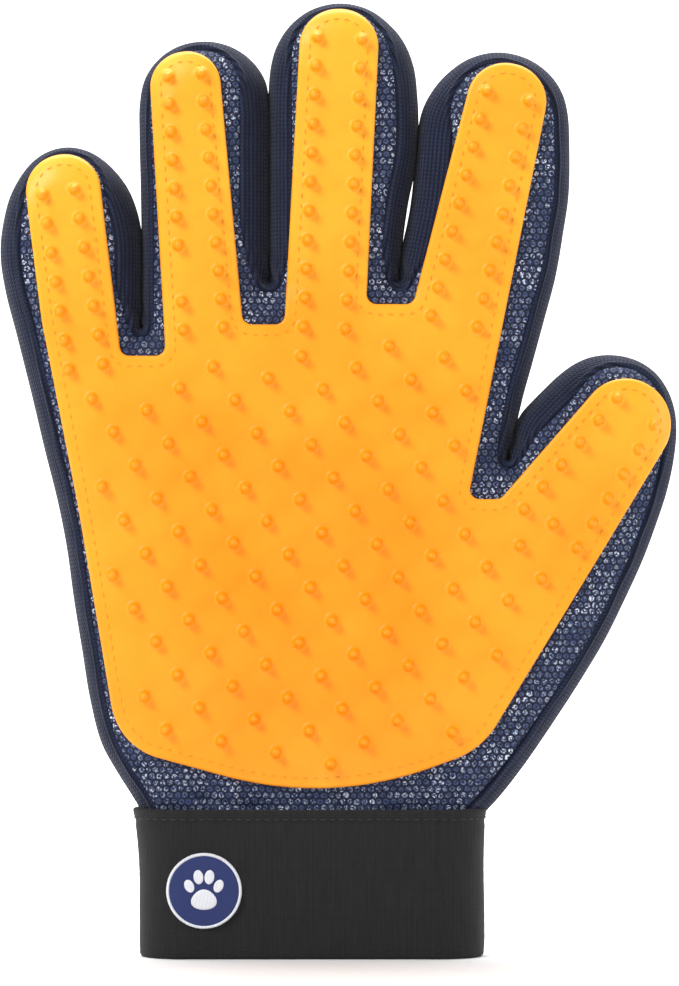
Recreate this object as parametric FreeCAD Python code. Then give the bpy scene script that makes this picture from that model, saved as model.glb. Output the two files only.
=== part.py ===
import FreeCAD, Part
import math
import os
from dataclasses import dataclass

# Pet grooming glove for the right hand: a mesh and knit hand with five fingers, a rubber pad
# with round nubs sewn to its palm side, and an elastic cuff with a hook-and-loop strap.
# Frame, in millimetres: the origin is the centre of the cuff's bottom opening, +Z runs along
# the fingers, the padded palm side faces -Y, and the thumb points to +X.

# ---------------------------------------------------------------- driving dimensions

# Cuff
CUFF_WIDTH = 85.0
CUFF_DEPTH = 22.0
CUFF_HEIGHT = 36.5
CUFF_WALL = 2.0
CUFF_SEAM_DROP = 2.6         # stitch line below the cuff's top edge

# Cloth shell of the hand
FABRIC = 1.4                 # wall of the mesh and knit fabrics
HAND_INSET = 1.0             # hand thinner than the cuff, front and back
HAND_DEPTH = CUFF_DEPTH - 2 * HAND_INSET
FRONT_Y = -HAND_DEPTH / 2    # outer face of the palm fabric
FRONT_ROUND = 5.0            # edge rounding of the padded side
BACK_ROUND = 8.0
PALM_FLARE = 2.2             # palm wider than the cuff, each side
PALM_SEAM = 4.0              # side strip, from the outline to the panel seam

# Palm outline, (x, z) and corner radius
HEEL_LEFT = (-53.5, 56.5, 25.0)
HAND_EDGE = (-60.2, 102.0, 250.0)
THUMB_CROTCH = (48.6, 122.0)
THUMB_HEEL = (77.5, 88.5, 60.0)
CROTCH_ROUND = 2.5
WRIST_RISE = (1.5, 0.5)      # the flare is full this far above the cuff, left and right
WRIST_ROUND = 30.0
SIDE_ROUND = 60.0            # where the hand's side turns into a finger's
SLOT_DROP = 2.0              # little finger's slot runs this far below its hinge
SLOT_ROUND_SHARE = 0.48      # corner radius at the slot's foot, as a share of its width

# Hinges of the cloth fingers
KNUCKLE_Z = 166.5
LITTLE_KNUCKLE_Z = 156.5
THUMB_HINGE_LEAN = 44.4      # degrees from +Z towards +X
FINGER_GAP = 0.8             # between neighbouring fingers
HINGE_GAP = 0.4              # between the palm and a finger

# Rubber pad
PAD = 1.2
PAD_HEEL = ((4.1, 37.7, 83.0), (-47.5, 52.0, 16.0))
PAD_HAND_EDGE = (-57.7, 112.6, 200.0)
PAD_THUMB_HEEL = (41.7, 51.3, 20.0)
PAD_THUMB_NOTCH = (38.4, 46.4, 112.8)       # left x, right x, z
PAD_NOTCH_Z = {"little": 148.0, "ring": 155.7, "middle": 160.7}
PAD_NOTCH_ROUND = 2.4

# Nubs
NUB_BASE_R = 1.4
NUB_TIP_R = 1.0
NUB_HEIGHT = 2.8
NUB_SINK = 0.7
NUB_PITCH = 9.73             # square lattice on the palm
NUB_LATTICE_TURN = 33.2      # degrees, rows rise towards the thumb
NUB_LATTICE_ORIGIN = (2.56, 104.57)
NUB_EDGE = 5.2               # nub centre to the pad's edge
NUB_ROW_SPACE = 6.3          # palm nubs stay this far from a finger's rows
NUB_HINGE_SPACE = 1.8        # nub centre to a hinge plane
NUB_LATTICE_REACH = 130.0    # the lattice runs at most this far from its origin

# Stitching on the pad and the cuff
STITCH_INSET = 2.1
STITCH_WIDTH = 0.45
STITCH_RISE = 0.25

# Badge on the cuff
BADGE_R = 9.3
BADGE_THICK = 0.8
BADGE_X = -26.4
BADGE_Z = 16.7

# Closure strap on the back of the cuff
STRAP_WIDTH = 25.0
STRAP_THICK = 1.6
STRAP_LEFT = -20.8           # its hinge line
STRAP_REACH = 51.0           # from the hinge line to the free end
STRAP_ROUND = 6.0
ANCHOR_LENGTH = 10.0
PATCH_THICK = 1.0
PATCH_LENGTH = 30.0
PATCH_MARGIN = 2.0
STRAP_CLEAR = 0.3

# Fingers. Half widths base_r and tip_r, the length from the hinge to the centre of the tip's
# round, and the lean in degrees from +Z towards +X. The knit beside the panel is seams wide,
# left and right. The pad has half widths pad_r at the hinge and the tip, lies pad_shift to the
# right of the finger's centre there, and ends pad_margin short of the tip. Its two rows of nubs
# are row_gauge apart at the hinge and the tip, and start row_top past the pad's round.
FINGER_SIZES = {
    "little": dict(
        base_r=15.0, tip_r=16.1, length=26.2, lean=-5.5, seams=(4.9, 6.2),
        pad_r=(9.15, 9.2), pad_shift=(-0.3, -2.2), pad_margin=1.4,
        rows=7, row_pitch=7.25, row_gauge=(8.4, 8.0), row_top=0.4,
    ),
    "ring": dict(
        base_r=15.3, tip_r=15.3, length=43.5, lean=0.0, seams=(2.6, 6.8),
        pad_r=(9.5, 8.7), pad_shift=(-1.2, -4.8), pad_margin=2.2,
        rows=10, row_pitch=6.95, row_gauge=(9.5, 8.4), row_top=2.6,
    ),
    "middle": dict(
        base_r=15.7, tip_r=17.4, length=50.9, lean=2.1, seams=(5.5, 5.0),
        pad_r=(9.9, 9.7), pad_shift=(-1.8, -0.9), pad_margin=1.3,
        rows=11, row_pitch=7.12, row_gauge=(10.4, 11.0), row_top=2.1,
    ),
    "index": dict(
        base_r=18.3, tip_r=17.0, length=39.9, lean=7.6, seams=(8.0, 3.4),
        pad_r=(10.6, 9.7), pad_shift=(-3.3, 1.3), pad_margin=2.7,
        rows=9, row_pitch=7.1, row_gauge=(11.4, 10.6), row_top=1.3,
    ),
    "thumb": dict(
        base_r=23.8, tip_r=18.0, length=22.7, lean=32.8, seams=(6.0, 3.2),
        pad_r=(13.9, 11.3), pad_shift=(1.7, 3.2), pad_margin=2.0,
        rows=6, row_pitch=7.1, row_gauge=(15.5, 11.8), row_top=3.9,
    ),
}
MIDDLE_X = 5.6               # the middle finger's centre at its hinge; its neighbours follow
THUMB_HINGE = (59.7, 109.9)

# Working values that don't set a size
SPACE = 500.0
OVERSHOOT = 1.0              # a cutting tool runs this far past what it cuts
SAME = 1e-4                  # lengths closer than this are equal
RUN_IN = 22.0                # the palm's outline below the cuff's top edge
RUN_IN_ROUND = 10.0
ROOT_RUN = 22.0              # a finger's outline below its hinge
STUB_RUN = 26.0              # the palm's outline above the hinges
STUB_ROUND = 12.0
THUMB_RUN = 62.0             # the palm's outline from the heel, up the thumb
WEB_RUN = 38.0               # the palm's outline from the thumb crotch, past the thumb's hinge
THUMB_STUB_ROUND = 8.0
PAD_RUN = 8.0                # the pad's outline past a hinge
PAD_STUB_ROUND = 1.5
SKIN_REACH = 4.5             # the pad follows the rounded edge this far back


def vec(x, z, y=0.0):
    return FreeCAD.Vector(x, y, z)


def lean_vec(angle):
    """Unit vector leaning from +Z towards +X by an angle in degrees."""
    return vec(math.sin(math.radians(angle)), math.cos(math.radians(angle)))


def right_of(direction):
    return vec(direction.z, -direction.x)


# ---------------------------------------------------------------- outlines

@dataclass
class Capsule:
    """A tapered bar between two circles, seen from the palm side."""

    root: FreeCAD.Vector
    root_r: float
    tip: FreeCAD.Vector
    tip_r: float

    def axis(self):
        return (self.tip - self.root).normalize()

    def normal(self, side):
        """Outward normal of the straight edge: side -1 is left, +1 is right."""
        length = (self.tip - self.root).Length
        rise = (self.root_r - self.tip_r) / length
        return self.axis() * rise + right_of(self.axis()) * (side * math.sqrt(1 - rise * rise))

    def edge_on(self, point, normal, side):
        """Where the straight edge crosses the line through point with this normal."""
        start = self.root + self.normal(side) * self.root_r
        end = self.tip + self.normal(side) * self.tip_r
        run = end - start
        share = (point - start).dot(normal) / run.dot(normal)
        return start + run * share

    def edge_x(self, z, side):
        return self.edge_on(vec(0, z), vec(0, 1), side).x

    def face(self):
        left = self.normal(-1)
        right = self.normal(1)
        corners = [
            self.root + left * self.root_r,
            self.tip + left * self.tip_r,
            self.tip + right * self.tip_r,
            self.root + right * self.root_r,
        ]
        edges = [
            Part.makeLine(corners[0], corners[1]),
            Part.Arc(corners[1], self.tip + self.axis() * self.tip_r, corners[2]).toShape(),
            Part.makeLine(corners[2], corners[3]),
            Part.Arc(corners[3], self.root - self.axis() * self.root_r, corners[0]).toShape(),
        ]
        return Part.Face(Part.Wire(edges))


def rounded_face(corners):
    """A polygon's face; each corner is (x, z, radius)."""
    spots = [vec(x, z) for x, z, radius in corners]
    starts = []
    ends = []
    middles = []
    for index, (x, z, radius) in enumerate(corners):
        spot = spots[index]
        back = (spots[index - 1] - spot).normalize()
        ahead = (spots[(index + 1) % len(spots)] - spot).normalize()
        half = back.getAngle(ahead) / 2
        reach = radius / math.tan(half)
        starts.append(spot + back * reach)
        ends.append(spot + ahead * reach)
        middles.append(spot + (back + ahead).normalize() * (radius / math.sin(half) - radius))
    edges = []
    for index in range(len(corners)):
        edges.append(Part.Arc(starts[index], middles[index], ends[index]).toShape())
        edges.append(Part.makeLine(ends[index], starts[(index + 1) % len(corners)]))
    return Part.Face(Part.Wire(edges))


def past(start, end, extra):
    """The point that lies extra past end on the line from start."""
    return end + (end - start).normalize() * extra


# ---------------------------------------------------------------- solids

def upright(solid):
    if solid.Volume < 0:
        solid.reverse()
    return solid


def prism(face, low_y, high_y):
    placed = face.copy()
    placed.translate(vec(0, 0, low_y))
    return upright(placed.extrude(vec(0, 0, high_y - low_y)))


def rim(solid, y):
    """Edges of the flat end face at this y."""
    return [
        edge for edge in solid.Edges
        if abs(edge.BoundBox.YMin - y) < SAME and abs(edge.BoundBox.YMax - y) < SAME
    ]


def pillow(face, low_y, high_y, front_round, back_round):
    """A prism with rounded front and back edges."""
    solid = prism(face, low_y, high_y)
    solid = solid.makeFillet(front_round, rim(solid, low_y))
    return solid.makeFillet(back_round, rim(solid, high_y))


def grown_pillow(face, grow):
    """The cloth body's outer form grown outwards, or shrunk when grow is negative."""
    outline = face.makeOffset2D(grow) if grow else face
    back_y = FRONT_Y + HAND_DEPTH
    return pillow(outline, FRONT_Y - grow, back_y + grow, FRONT_ROUND + grow, BACK_ROUND + grow)


def half_space(point, lean):
    """Everything past a plane through point; its normal leans from +Z towards +X."""
    box = Part.makeBox(SPACE, SPACE, SPACE, FreeCAD.Vector(-SPACE / 2, -SPACE / 2, 0))
    turn = FreeCAD.Rotation(FreeCAD.Vector(0, 1, 0), lean)
    box.Placement = FreeCAD.Placement(point, turn)
    return box


def block(x0, x1, y0, y1, z0, z1):
    return Part.makeBox(x1 - x0, y1 - y0, z1 - z0, FreeCAD.Vector(x0, y0, z0))


def one_piece(shape):
    """The single solid or the group of solids in a boolean result, without wrappers."""
    solids = [upright(solid) for solid in shape.Solids]
    return solids[0] if len(solids) == 1 else Part.makeCompound(solids)


def save(name, shape):
    one_piece(shape).exportStep("parts/%s.step" % name)


# ---------------------------------------------------------------- fingers

@dataclass
class Finger:
    """One cloth finger, its pad and its nub rows, with the sizes that FINGER_SIZES explains."""

    name: str
    base_r: float
    tip_r: float
    length: float
    lean: float
    seams: tuple
    pad_r: tuple
    pad_shift: tuple
    pad_margin: float
    rows: int
    row_pitch: float
    row_gauge: tuple
    row_top: float
    base_x: float = 0.0
    hinge_z: float = KNUCKLE_Z
    hinge_lean: float = 0.0

    def hinge_point(self):
        return vec(self.base_x, self.hinge_z)

    def hinge_normal(self):
        return lean_vec(self.hinge_lean)

    def hinge_line(self):
        return right_of(self.hinge_normal())

    def axis(self):
        return lean_vec(self.lean)

    def across(self):
        return right_of(self.axis())

    def tip_centre(self):
        return self.hinge_point() + self.axis() * self.length

    def bar(self, base, base_r, tip, tip_r):
        """A capsule whose straight edges run on below the hinge."""
        run = tip - base
        share = ROOT_RUN / run.Length
        return Capsule(base - run * share, base_r + (base_r - tip_r) * share, tip, tip_r)

    def outline(self):
        return self.bar(self.hinge_point(), self.base_r, self.tip_centre(), self.tip_r)

    def panel(self):
        left, right = self.seams
        inset = (left + right) / 2
        shift = self.across() * ((left - right) / 2)
        tip = self.tip_centre() + shift + self.axis() * (inset - self.pad_margin)
        return self.bar(self.hinge_point() + shift, self.base_r - inset, tip, self.tip_r - inset)

    def pad(self):
        base = self.hinge_point() + self.hinge_line() * self.pad_shift[0]
        ahead = self.tip_r - self.pad_r[1] - self.pad_margin
        tip = self.tip_centre() + self.axis() * ahead + self.across() * self.pad_shift[1]
        return self.bar(base, self.pad_r[0], tip, self.pad_r[1])

    def nub_spots(self):
        """Centres of the nubs in the two rows, from the tip down onto the palm."""
        pad = self.pad()
        run = (pad.tip - self.hinge_point()).Length
        spots = []
        for row in range(self.rows):
            down = self.row_pitch * row - self.row_top
            gauge = self.row_gauge[1] + (self.row_gauge[0] - self.row_gauge[1]) * down / run
            centre = pad.tip - pad.axis() * down
            for side in (-1, 1):
                spots.append(centre + right_of(pad.axis()) * (side * gauge / 2))
        return spots


def gap_needed(left, right):
    """How far right's hinge centre lies from left's, for their edges to clear by FINGER_GAP."""
    low = max(left.hinge_z, right.hinge_z)
    high = min(left.tip_centre().z, right.tip_centre().z)
    spans = []
    for z in (low, high):
        left_reach = left.outline().edge_x(z, 1) - left.base_x
        right_reach = right.outline().edge_x(z, -1) - right.base_x
        spans.append(left_reach - right_reach + FINGER_GAP)
    return max(spans)


def make(name, **place):
    return Finger(name=name, **FINGER_SIZES[name], **place)


LITTLE = make("little", hinge_z=LITTLE_KNUCKLE_Z)
RING = make("ring")
MIDDLE = make("middle", base_x=MIDDLE_X)
INDEX = make("index")
THUMB = make(
    "thumb", base_x=THUMB_HINGE[0], hinge_z=THUMB_HINGE[1], hinge_lean=THUMB_HINGE_LEAN,
)
FINGERS = [LITTLE, RING, MIDDLE, INDEX, THUMB]

RING.base_x = MIDDLE.base_x - gap_needed(RING, MIDDLE)
LITTLE.base_x = RING.base_x - gap_needed(LITTLE, RING)
INDEX.base_x = MIDDLE.base_x + gap_needed(MIDDLE, INDEX)

SLOT_X = RING.outline().edge_x(LITTLE_KNUCKLE_Z, -1) - FINGER_GAP / 2


def web_lean():
    """Lean of the index finger's free side, from the thumb crotch up to its hinge."""
    side = vec(INDEX.outline().edge_x(KNUCKLE_Z, 1), KNUCKLE_Z) - vec(*THUMB_CROTCH)
    return math.degrees(math.atan2(side.x, side.z))


def thumb_zone(hinge_shift, side_shift):
    """Space of the moving thumb: past its hinge plane and right of the index's free side."""
    past_hinge = half_space(
        THUMB.hinge_point() + THUMB.hinge_normal() * hinge_shift, THUMB.hinge_lean,
    )
    beside_index = half_space(
        vec(*THUMB_CROTCH) + lean_vec(web_lean() + 90) * side_shift, web_lean() + 90,
    )
    return past_hinge.common(beside_index)


def finger_zone(finger, shrink):
    """Where the finger's own pieces may be, with its open sides shrunk by the fabric."""
    if finger is THUMB:
        return thumb_zone(HINGE_GAP / 2, FINGER_GAP + shrink)
    return half_space(finger.hinge_point() + vec(0, HINGE_GAP / 2), 0)


def hand_only(shape):
    """Cut a palm piece back from the cuff and from every moving finger."""
    right_side = half_space(vec(SLOT_X, 0), 90)
    left_side = half_space(vec(SLOT_X, 0), -90)
    little_zone = half_space(vec(0, LITTLE_KNUCKLE_Z - HINGE_GAP / 2), 0).common(left_side)
    upper_zone = half_space(vec(0, KNUCKLE_Z - HINGE_GAP / 2), 0).common(right_side)
    cuff_zone = half_space(vec(0, CUFF_HEIGHT), 180)
    for zone in (little_zone, upper_zone, thumb_zone(-HINGE_GAP / 2, 0.0), cuff_zone):
        shape = shape.cut(zone)
    return shape


# ---------------------------------------------------------------- palm outlines

def palm_face():
    """Outline of the palm, run on past the cuff and past every hinge."""
    half = CUFF_WIDTH / 2
    top = KNUCKLE_Z + STUB_RUN
    little = LITTLE.outline()
    index = INDEX.outline()
    slot_left = SLOT_X - FINGER_GAP / 2
    slot_right = SLOT_X + FINGER_GAP / 2
    slot_z = LITTLE_KNUCKLE_Z - SLOT_DROP
    slot_round = FINGER_GAP * SLOT_ROUND_SHARE
    thumb_edge = THUMB.outline().normal(1)
    thumb_side = right_of(thumb_edge) * -1
    thumb_far = vec(*THUMB_HEEL[:2]) + thumb_side * THUMB_RUN
    web_far = vec(*THUMB_CROTCH) + THUMB.hinge_normal() * WEB_RUN
    return rounded_face([
        (-half, CUFF_HEIGHT - RUN_IN, RUN_IN_ROUND),
        (-half - PALM_FLARE, CUFF_HEIGHT + WRIST_RISE[0], WRIST_ROUND),
        HEEL_LEFT,
        HAND_EDGE,
        (little.edge_x(LITTLE_KNUCKLE_Z, -1), LITTLE_KNUCKLE_Z, SIDE_ROUND),
        (little.edge_x(top, -1), top, STUB_ROUND),
        (slot_left, top, STUB_ROUND),
        (slot_left, slot_z, slot_round),
        (slot_right, slot_z, slot_round),
        (slot_right, top, STUB_ROUND),
        (index.edge_x(top, 1), top, STUB_ROUND),
        (index.edge_x(KNUCKLE_Z, 1), KNUCKLE_Z, SIDE_ROUND),
        (THUMB_CROTCH[0], THUMB_CROTCH[1], CROTCH_ROUND),
        (web_far.x, web_far.z, THUMB_STUB_ROUND),
        (thumb_far.x, thumb_far.z, THUMB_STUB_ROUND),
        THUMB_HEEL,
        (half + PALM_FLARE, CUFF_HEIGHT + WRIST_RISE[1], WRIST_ROUND),
        (half, CUFF_HEIGHT - RUN_IN, RUN_IN_ROUND),
    ])


def pad_edge(finger, side):
    """Where the finger's pad edge meets its hinge plane."""
    return finger.pad().edge_on(finger.hinge_point(), finger.hinge_normal(), side)


def pad_notch(left, right):
    """The two lower corners of the notch between neighbouring finger pads."""
    z = PAD_NOTCH_Z[left.name]
    return vec(left.pad().edge_x(z, 1), z), vec(right.pad().edge_x(z, -1), z)


def palm_pad_face():
    """Outline of the palm's pad, run on past the hinges where the finger pads take over."""
    fingers = [LITTLE, RING, MIDDLE, INDEX]
    start = vec(*PAD_HAND_EDGE[:2])
    corners = list(PAD_HEEL) + [PAD_HAND_EDGE]
    for position, finger in enumerate(fingers):
        left_top = past(start, pad_edge(finger, -1), PAD_RUN)
        corners.append((left_top.x, left_top.z, PAD_STUB_ROUND))
        if finger is INDEX:
            low = vec(PAD_THUMB_NOTCH[0], PAD_THUMB_NOTCH[2])
            start = vec(PAD_THUMB_NOTCH[1], PAD_THUMB_NOTCH[2])
        else:
            low, start = pad_notch(finger, fingers[position + 1])
        right_top = past(low, pad_edge(finger, 1), PAD_RUN)
        corners.append((right_top.x, right_top.z, PAD_STUB_ROUND))
        corners.append((low.x, low.z, PAD_NOTCH_ROUND))
        corners.append((start.x, start.z, PAD_NOTCH_ROUND))
    thumb_top = past(start, pad_edge(THUMB, -1), PAD_RUN)
    heel = vec(*PAD_THUMB_HEEL[:2])
    thumb_low = past(heel, pad_edge(THUMB, 1), PAD_RUN)
    corners.append((thumb_top.x, thumb_top.z, PAD_STUB_ROUND))
    corners.append((thumb_low.x, thumb_low.z, PAD_STUB_ROUND))
    corners.append(PAD_THUMB_HEEL)
    return rounded_face(corners)


# ---------------------------------------------------------------- pads, nubs and stitches

def skin(face, inner_grow, outer_grow, outline):
    """A layer on the padded side, between two growths of the cloth body, inside an outline."""
    layer = grown_pillow(face, outer_grow).cut(grown_pillow(face, inner_grow))
    return layer.common(prism(outline, FRONT_Y - SPACE / 10, FRONT_Y + SKIN_REACH))


def stitch_line(outline):
    """The band that the stitching covers, a set distance inside an outline."""
    outer = outline.makeOffset2D(-STITCH_INSET + STITCH_WIDTH / 2)
    inner = outline.makeOffset2D(-STITCH_INSET - STITCH_WIDTH / 2)
    return outer.cut(inner)


def nub():
    """One nub on the pad's face at the origin, pointing to -Y."""
    shoulder = NUB_HEIGHT - NUB_TIP_R
    foot = FreeCAD.Vector(NUB_BASE_R, NUB_SINK, 0)
    skirt = FreeCAD.Vector(NUB_BASE_R, 0, 0)
    neck = FreeCAD.Vector(NUB_TIP_R, -shoulder, 0)
    crown = FreeCAD.Vector(0, -NUB_HEIGHT, 0)
    bend = FreeCAD.Vector(NUB_TIP_R * math.sqrt(0.5), -shoulder - NUB_TIP_R * math.sqrt(0.5), 0)
    middle = FreeCAD.Vector(0, NUB_SINK, 0)
    edges = [
        Part.makeLine(middle, foot),
        Part.makeLine(foot, skirt),
        Part.makeLine(skirt, neck),
        Part.Arc(neck, bend, crown).toShape(),
        Part.makeLine(crown, middle),
    ]
    face = Part.Face(Part.Wire(edges))
    return upright(face.revolve(FreeCAD.Vector(0, 0, 0), FreeCAD.Vector(0, 1, 0), 360))


def with_nubs(pad, spots):
    """Fuse a nub onto the pad at each spot."""
    nubs = []
    for spot in spots:
        copy = nub()
        copy.translate(vec(spot.x, spot.z, FRONT_Y - PAD))
        nubs.append(copy)
    return pad.fuse(nubs)


def past_hinge(finger, spot):
    return (spot - finger.hinge_point()).dot(finger.hinge_normal())


def finger_nubs(finger):
    return [spot for spot in finger.nub_spots() if past_hinge(finger, spot) > NUB_HINGE_SPACE]


def palm_nubs():
    """The square lattice on the palm, and the ends of the finger rows."""
    spots = []
    for finger in FINGERS:
        for spot in finger.nub_spots():
            if past_hinge(finger, spot) < -NUB_HINGE_SPACE:
                spots.append(spot)
    rows = [spot for finger in FINGERS for spot in finger.nub_spots()]
    along = lean_vec(90 - NUB_LATTICE_TURN) * NUB_PITCH
    across = right_of(along)
    middle = palm_pad_face().makeOffset2D(-NUB_EDGE)
    inside = hand_only(prism(middle, -OVERSHOOT, OVERSHOOT))
    reach = round(NUB_LATTICE_REACH / NUB_PITCH)
    steps = range(-reach, reach + 1)
    for i in steps:
        for j in steps:
            spot = vec(*NUB_LATTICE_ORIGIN) + along * i + across * j
            crowded = any((spot - other).Length < NUB_ROW_SPACE for other in rows)
            if not crowded and inside.isInside(spot, SAME, True):
                spots.append(spot)
    return spots


# ---------------------------------------------------------------- sub-assemblies

def make_finger(finger):
    """The cloth, pad and stitching of one finger."""
    face = finger.outline().face()
    outer = grown_pillow(face, 0.0)
    inner = grown_pillow(face, -FABRIC)
    zone = finger_zone(finger, 0.0)
    shell = outer.common(zone).cut(inner.common(finger_zone(finger, FABRIC).fuse(
        half_space(finger.hinge_point(), finger.hinge_lean + 180))))
    middle_y = FRONT_Y + HAND_DEPTH / 2
    panel = finger.panel().face()
    front = prism(panel, FRONT_Y - OVERSHOOT, middle_y)
    back = prism(panel, middle_y, FRONT_Y + HAND_DEPTH + OVERSHOOT)
    save(finger.name + "_front_panel", shell.common(front))
    save(finger.name + "_back_panel", shell.common(back))
    save(finger.name + "_gusset", shell.cut(front).cut(back))
    pad_face = finger.pad().face()
    pad = with_nubs(skin(face, 0.0, PAD, pad_face).common(zone), finger_nubs(finger))
    save(finger.name + "_pad", pad)
    stitches = skin(face, PAD, PAD + STITCH_RISE, stitch_line(pad_face))
    save(finger.name + "_pad_stitching", stitches.common(zone).cut(pad))


def make_palm():
    """The cloth, pad and stitching of the palm."""
    face = palm_face()
    outer = grown_pillow(face, 0.0)
    inner = grown_pillow(face, -FABRIC)
    shell = hand_only(outer.cut(inner))
    middle_y = FRONT_Y + HAND_DEPTH / 2
    panel = face.makeOffset2D(-PALM_SEAM)
    front = prism(panel, FRONT_Y - OVERSHOOT, middle_y)
    back = prism(panel, middle_y, FRONT_Y + HAND_DEPTH + OVERSHOOT)
    save("palm_front_panel", shell.common(front))
    save("palm_back_panel", shell.common(back))
    strips = sorted(shell.cut(front).cut(back).Solids, key=lambda solid: solid.CenterOfMass.x)
    names = ["little_side_gusset", "finger_web_gusset", "thumb_web_gusset", "thumb_side_gusset"]
    strips[2:] = sorted(strips[2:], key=lambda solid: -solid.CenterOfMass.z)
    for name, strip in zip(names, strips, strict=True):
        save(name, strip)
    pad_face = palm_pad_face()
    pad = with_nubs(hand_only(skin(face, 0.0, PAD, pad_face)), palm_nubs())
    save("palm_pad", pad)
    stitches = skin(face, PAD, PAD + STITCH_RISE, stitch_line(pad_face))
    save("palm_pad_stitching", hand_only(stitches).cut(pad))


def stadium(width, depth, low_z, high_z):
    """An upright solid with round ends, centred on the origin."""
    radius = depth / 2
    flat = width / 2 - radius
    body = block(-flat, flat, -radius, radius, low_z, high_z)
    ends = [
        Part.makeCylinder(radius, high_z - low_z, FreeCAD.Vector(x, 0, low_z))
        for x in (-flat, flat)
    ]
    return body.fuse(ends).removeSplitter()


def make_cuff():
    """The elastic cuff, its stitch line and its badge."""
    hole = stadium(
        CUFF_WIDTH - 2 * CUFF_WALL, CUFF_DEPTH - 2 * CUFF_WALL,
        -OVERSHOOT, CUFF_HEIGHT + OVERSHOOT,
    )
    save("cuff_band", stadium(CUFF_WIDTH, CUFF_DEPTH, 0, CUFF_HEIGHT).cut(hole))
    low = CUFF_HEIGHT - CUFF_SEAM_DROP
    thread = stadium(
        CUFF_WIDTH + 2 * STITCH_RISE, CUFF_DEPTH + 2 * STITCH_RISE, low, low + STITCH_WIDTH,
    )
    save("cuff_stitching", thread.cut(stadium(CUFF_WIDTH, CUFF_DEPTH, 0, CUFF_HEIGHT)))
    badge = Part.makeCylinder(
        BADGE_R, BADGE_THICK, FreeCAD.Vector(BADGE_X, -CUFF_DEPTH / 2, BADGE_Z),
        FreeCAD.Vector(0, -1, 0),
    )
    save("badge", badge)


def strap_blank(x0, x1, y0, y1, half, round_end):
    """A flat strip along X on the cuff's back, round at its free end."""
    middle = CUFF_HEIGHT / 2
    strip = block(x0, x1, y0, y1, middle - half, middle + half)
    corners = [
        edge for edge in strip.Edges
        if abs(edge.BoundBox.XMin - x1) < SAME and edge.BoundBox.YLength > (y1 - y0) / 2
    ]
    return strip.makeFillet(round_end, corners)


def make_closure():
    """The hook-and-loop strap on the back of the cuff."""
    cuff_back = CUFF_DEPTH / 2
    loop_face = cuff_back + PATCH_THICK
    hook_low = loop_face + STRAP_CLEAR
    strap_low = hook_low + PATCH_THICK
    strap_high = strap_low + STRAP_THICK
    half = STRAP_WIDTH / 2
    free_end = STRAP_LEFT + STRAP_REACH
    patch_end = free_end - PATCH_MARGIN
    patch_start = patch_end - PATCH_LENGTH
    patch_half = half - PATCH_MARGIN
    patch_round = STRAP_ROUND - PATCH_MARGIN
    save("strap_anchor", block(
        STRAP_LEFT - ANCHOR_LENGTH, STRAP_LEFT - STRAP_CLEAR, cuff_back, strap_high,
        CUFF_HEIGHT / 2 - half, CUFF_HEIGHT / 2 + half,
    ))
    save("loop_patch", strap_blank(
        patch_start, patch_end, cuff_back, loop_face, patch_half, patch_round))
    save("hook_patch", strap_blank(
        patch_start, patch_end, hook_low, strap_low, patch_half, patch_round))
    save("closure_strap", strap_blank(
        STRAP_LEFT, free_end, strap_low, strap_high, half, STRAP_ROUND))


os.makedirs("parts", exist_ok=True)
make_cuff()
make_closure()
make_palm()
for finger in FINGERS:
    make_finger(finger)
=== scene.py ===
import enum
import logging
import math
from collections.abc import Callable, Iterable
from dataclasses import dataclass, field

import bpy
import numpy as np
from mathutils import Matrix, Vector
from mathutils.geometry import delaunay_2d_cdt


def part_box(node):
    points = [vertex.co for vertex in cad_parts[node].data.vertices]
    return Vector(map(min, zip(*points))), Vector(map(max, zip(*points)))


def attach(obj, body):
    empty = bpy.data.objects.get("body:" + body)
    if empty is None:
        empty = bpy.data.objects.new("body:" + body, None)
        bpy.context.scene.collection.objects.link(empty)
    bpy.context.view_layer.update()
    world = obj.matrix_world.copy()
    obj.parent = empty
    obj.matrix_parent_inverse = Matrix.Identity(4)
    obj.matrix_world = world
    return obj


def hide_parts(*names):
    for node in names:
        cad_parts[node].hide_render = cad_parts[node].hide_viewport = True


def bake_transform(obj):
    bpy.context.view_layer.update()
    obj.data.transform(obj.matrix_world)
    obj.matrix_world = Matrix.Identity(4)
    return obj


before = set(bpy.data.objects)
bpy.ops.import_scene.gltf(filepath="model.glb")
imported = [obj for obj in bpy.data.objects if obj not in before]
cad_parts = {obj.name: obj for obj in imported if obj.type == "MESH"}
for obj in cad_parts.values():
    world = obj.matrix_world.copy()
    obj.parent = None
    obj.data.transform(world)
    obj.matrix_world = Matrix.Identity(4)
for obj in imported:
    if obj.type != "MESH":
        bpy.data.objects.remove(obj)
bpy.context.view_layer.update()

LOG = logging.getLogger("grooming_glove")
MM = 0.001
BATCH = 3000                 # points measured against a line at a time
NUDGE = 0.05                 # mm to each side, for the slope of a rolled edge
FAR = 99.0                   # mm, farther than anything on the glove

RIB = 1.15                   # mm from one rib of the knit to the next
FLAT = (1.0, 1.0, 0.0)       # keeps the flat part of a weave coordinate

Points = np.ndarray
Colour = tuple[float, float, float]


class Limb(enum.Enum):
    """The bodies of the glove that move on their own."""

    HAND = "hand"
    LITTLE = "little"
    RING = "ring"
    MIDDLE = "middle"
    INDEX = "index"
    THUMB = "thumb"
    CLOSURE = "closure"

    @property
    def word(self) -> str:
        """The limb's word in the names of its pieces and nodes."""
        return "palm" if self is Limb.HAND else self.value


class Side(enum.Enum):
    """The padded side faces -Y and the back of the hand faces +Y."""

    PALM = -1
    BACK = 1


FINGERS = (Limb.LITTLE, Limb.RING, Limb.MIDDLE, Limb.INDEX, Limb.THUMB)


# ------------------------------------------------------------------ flat geometry

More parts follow.
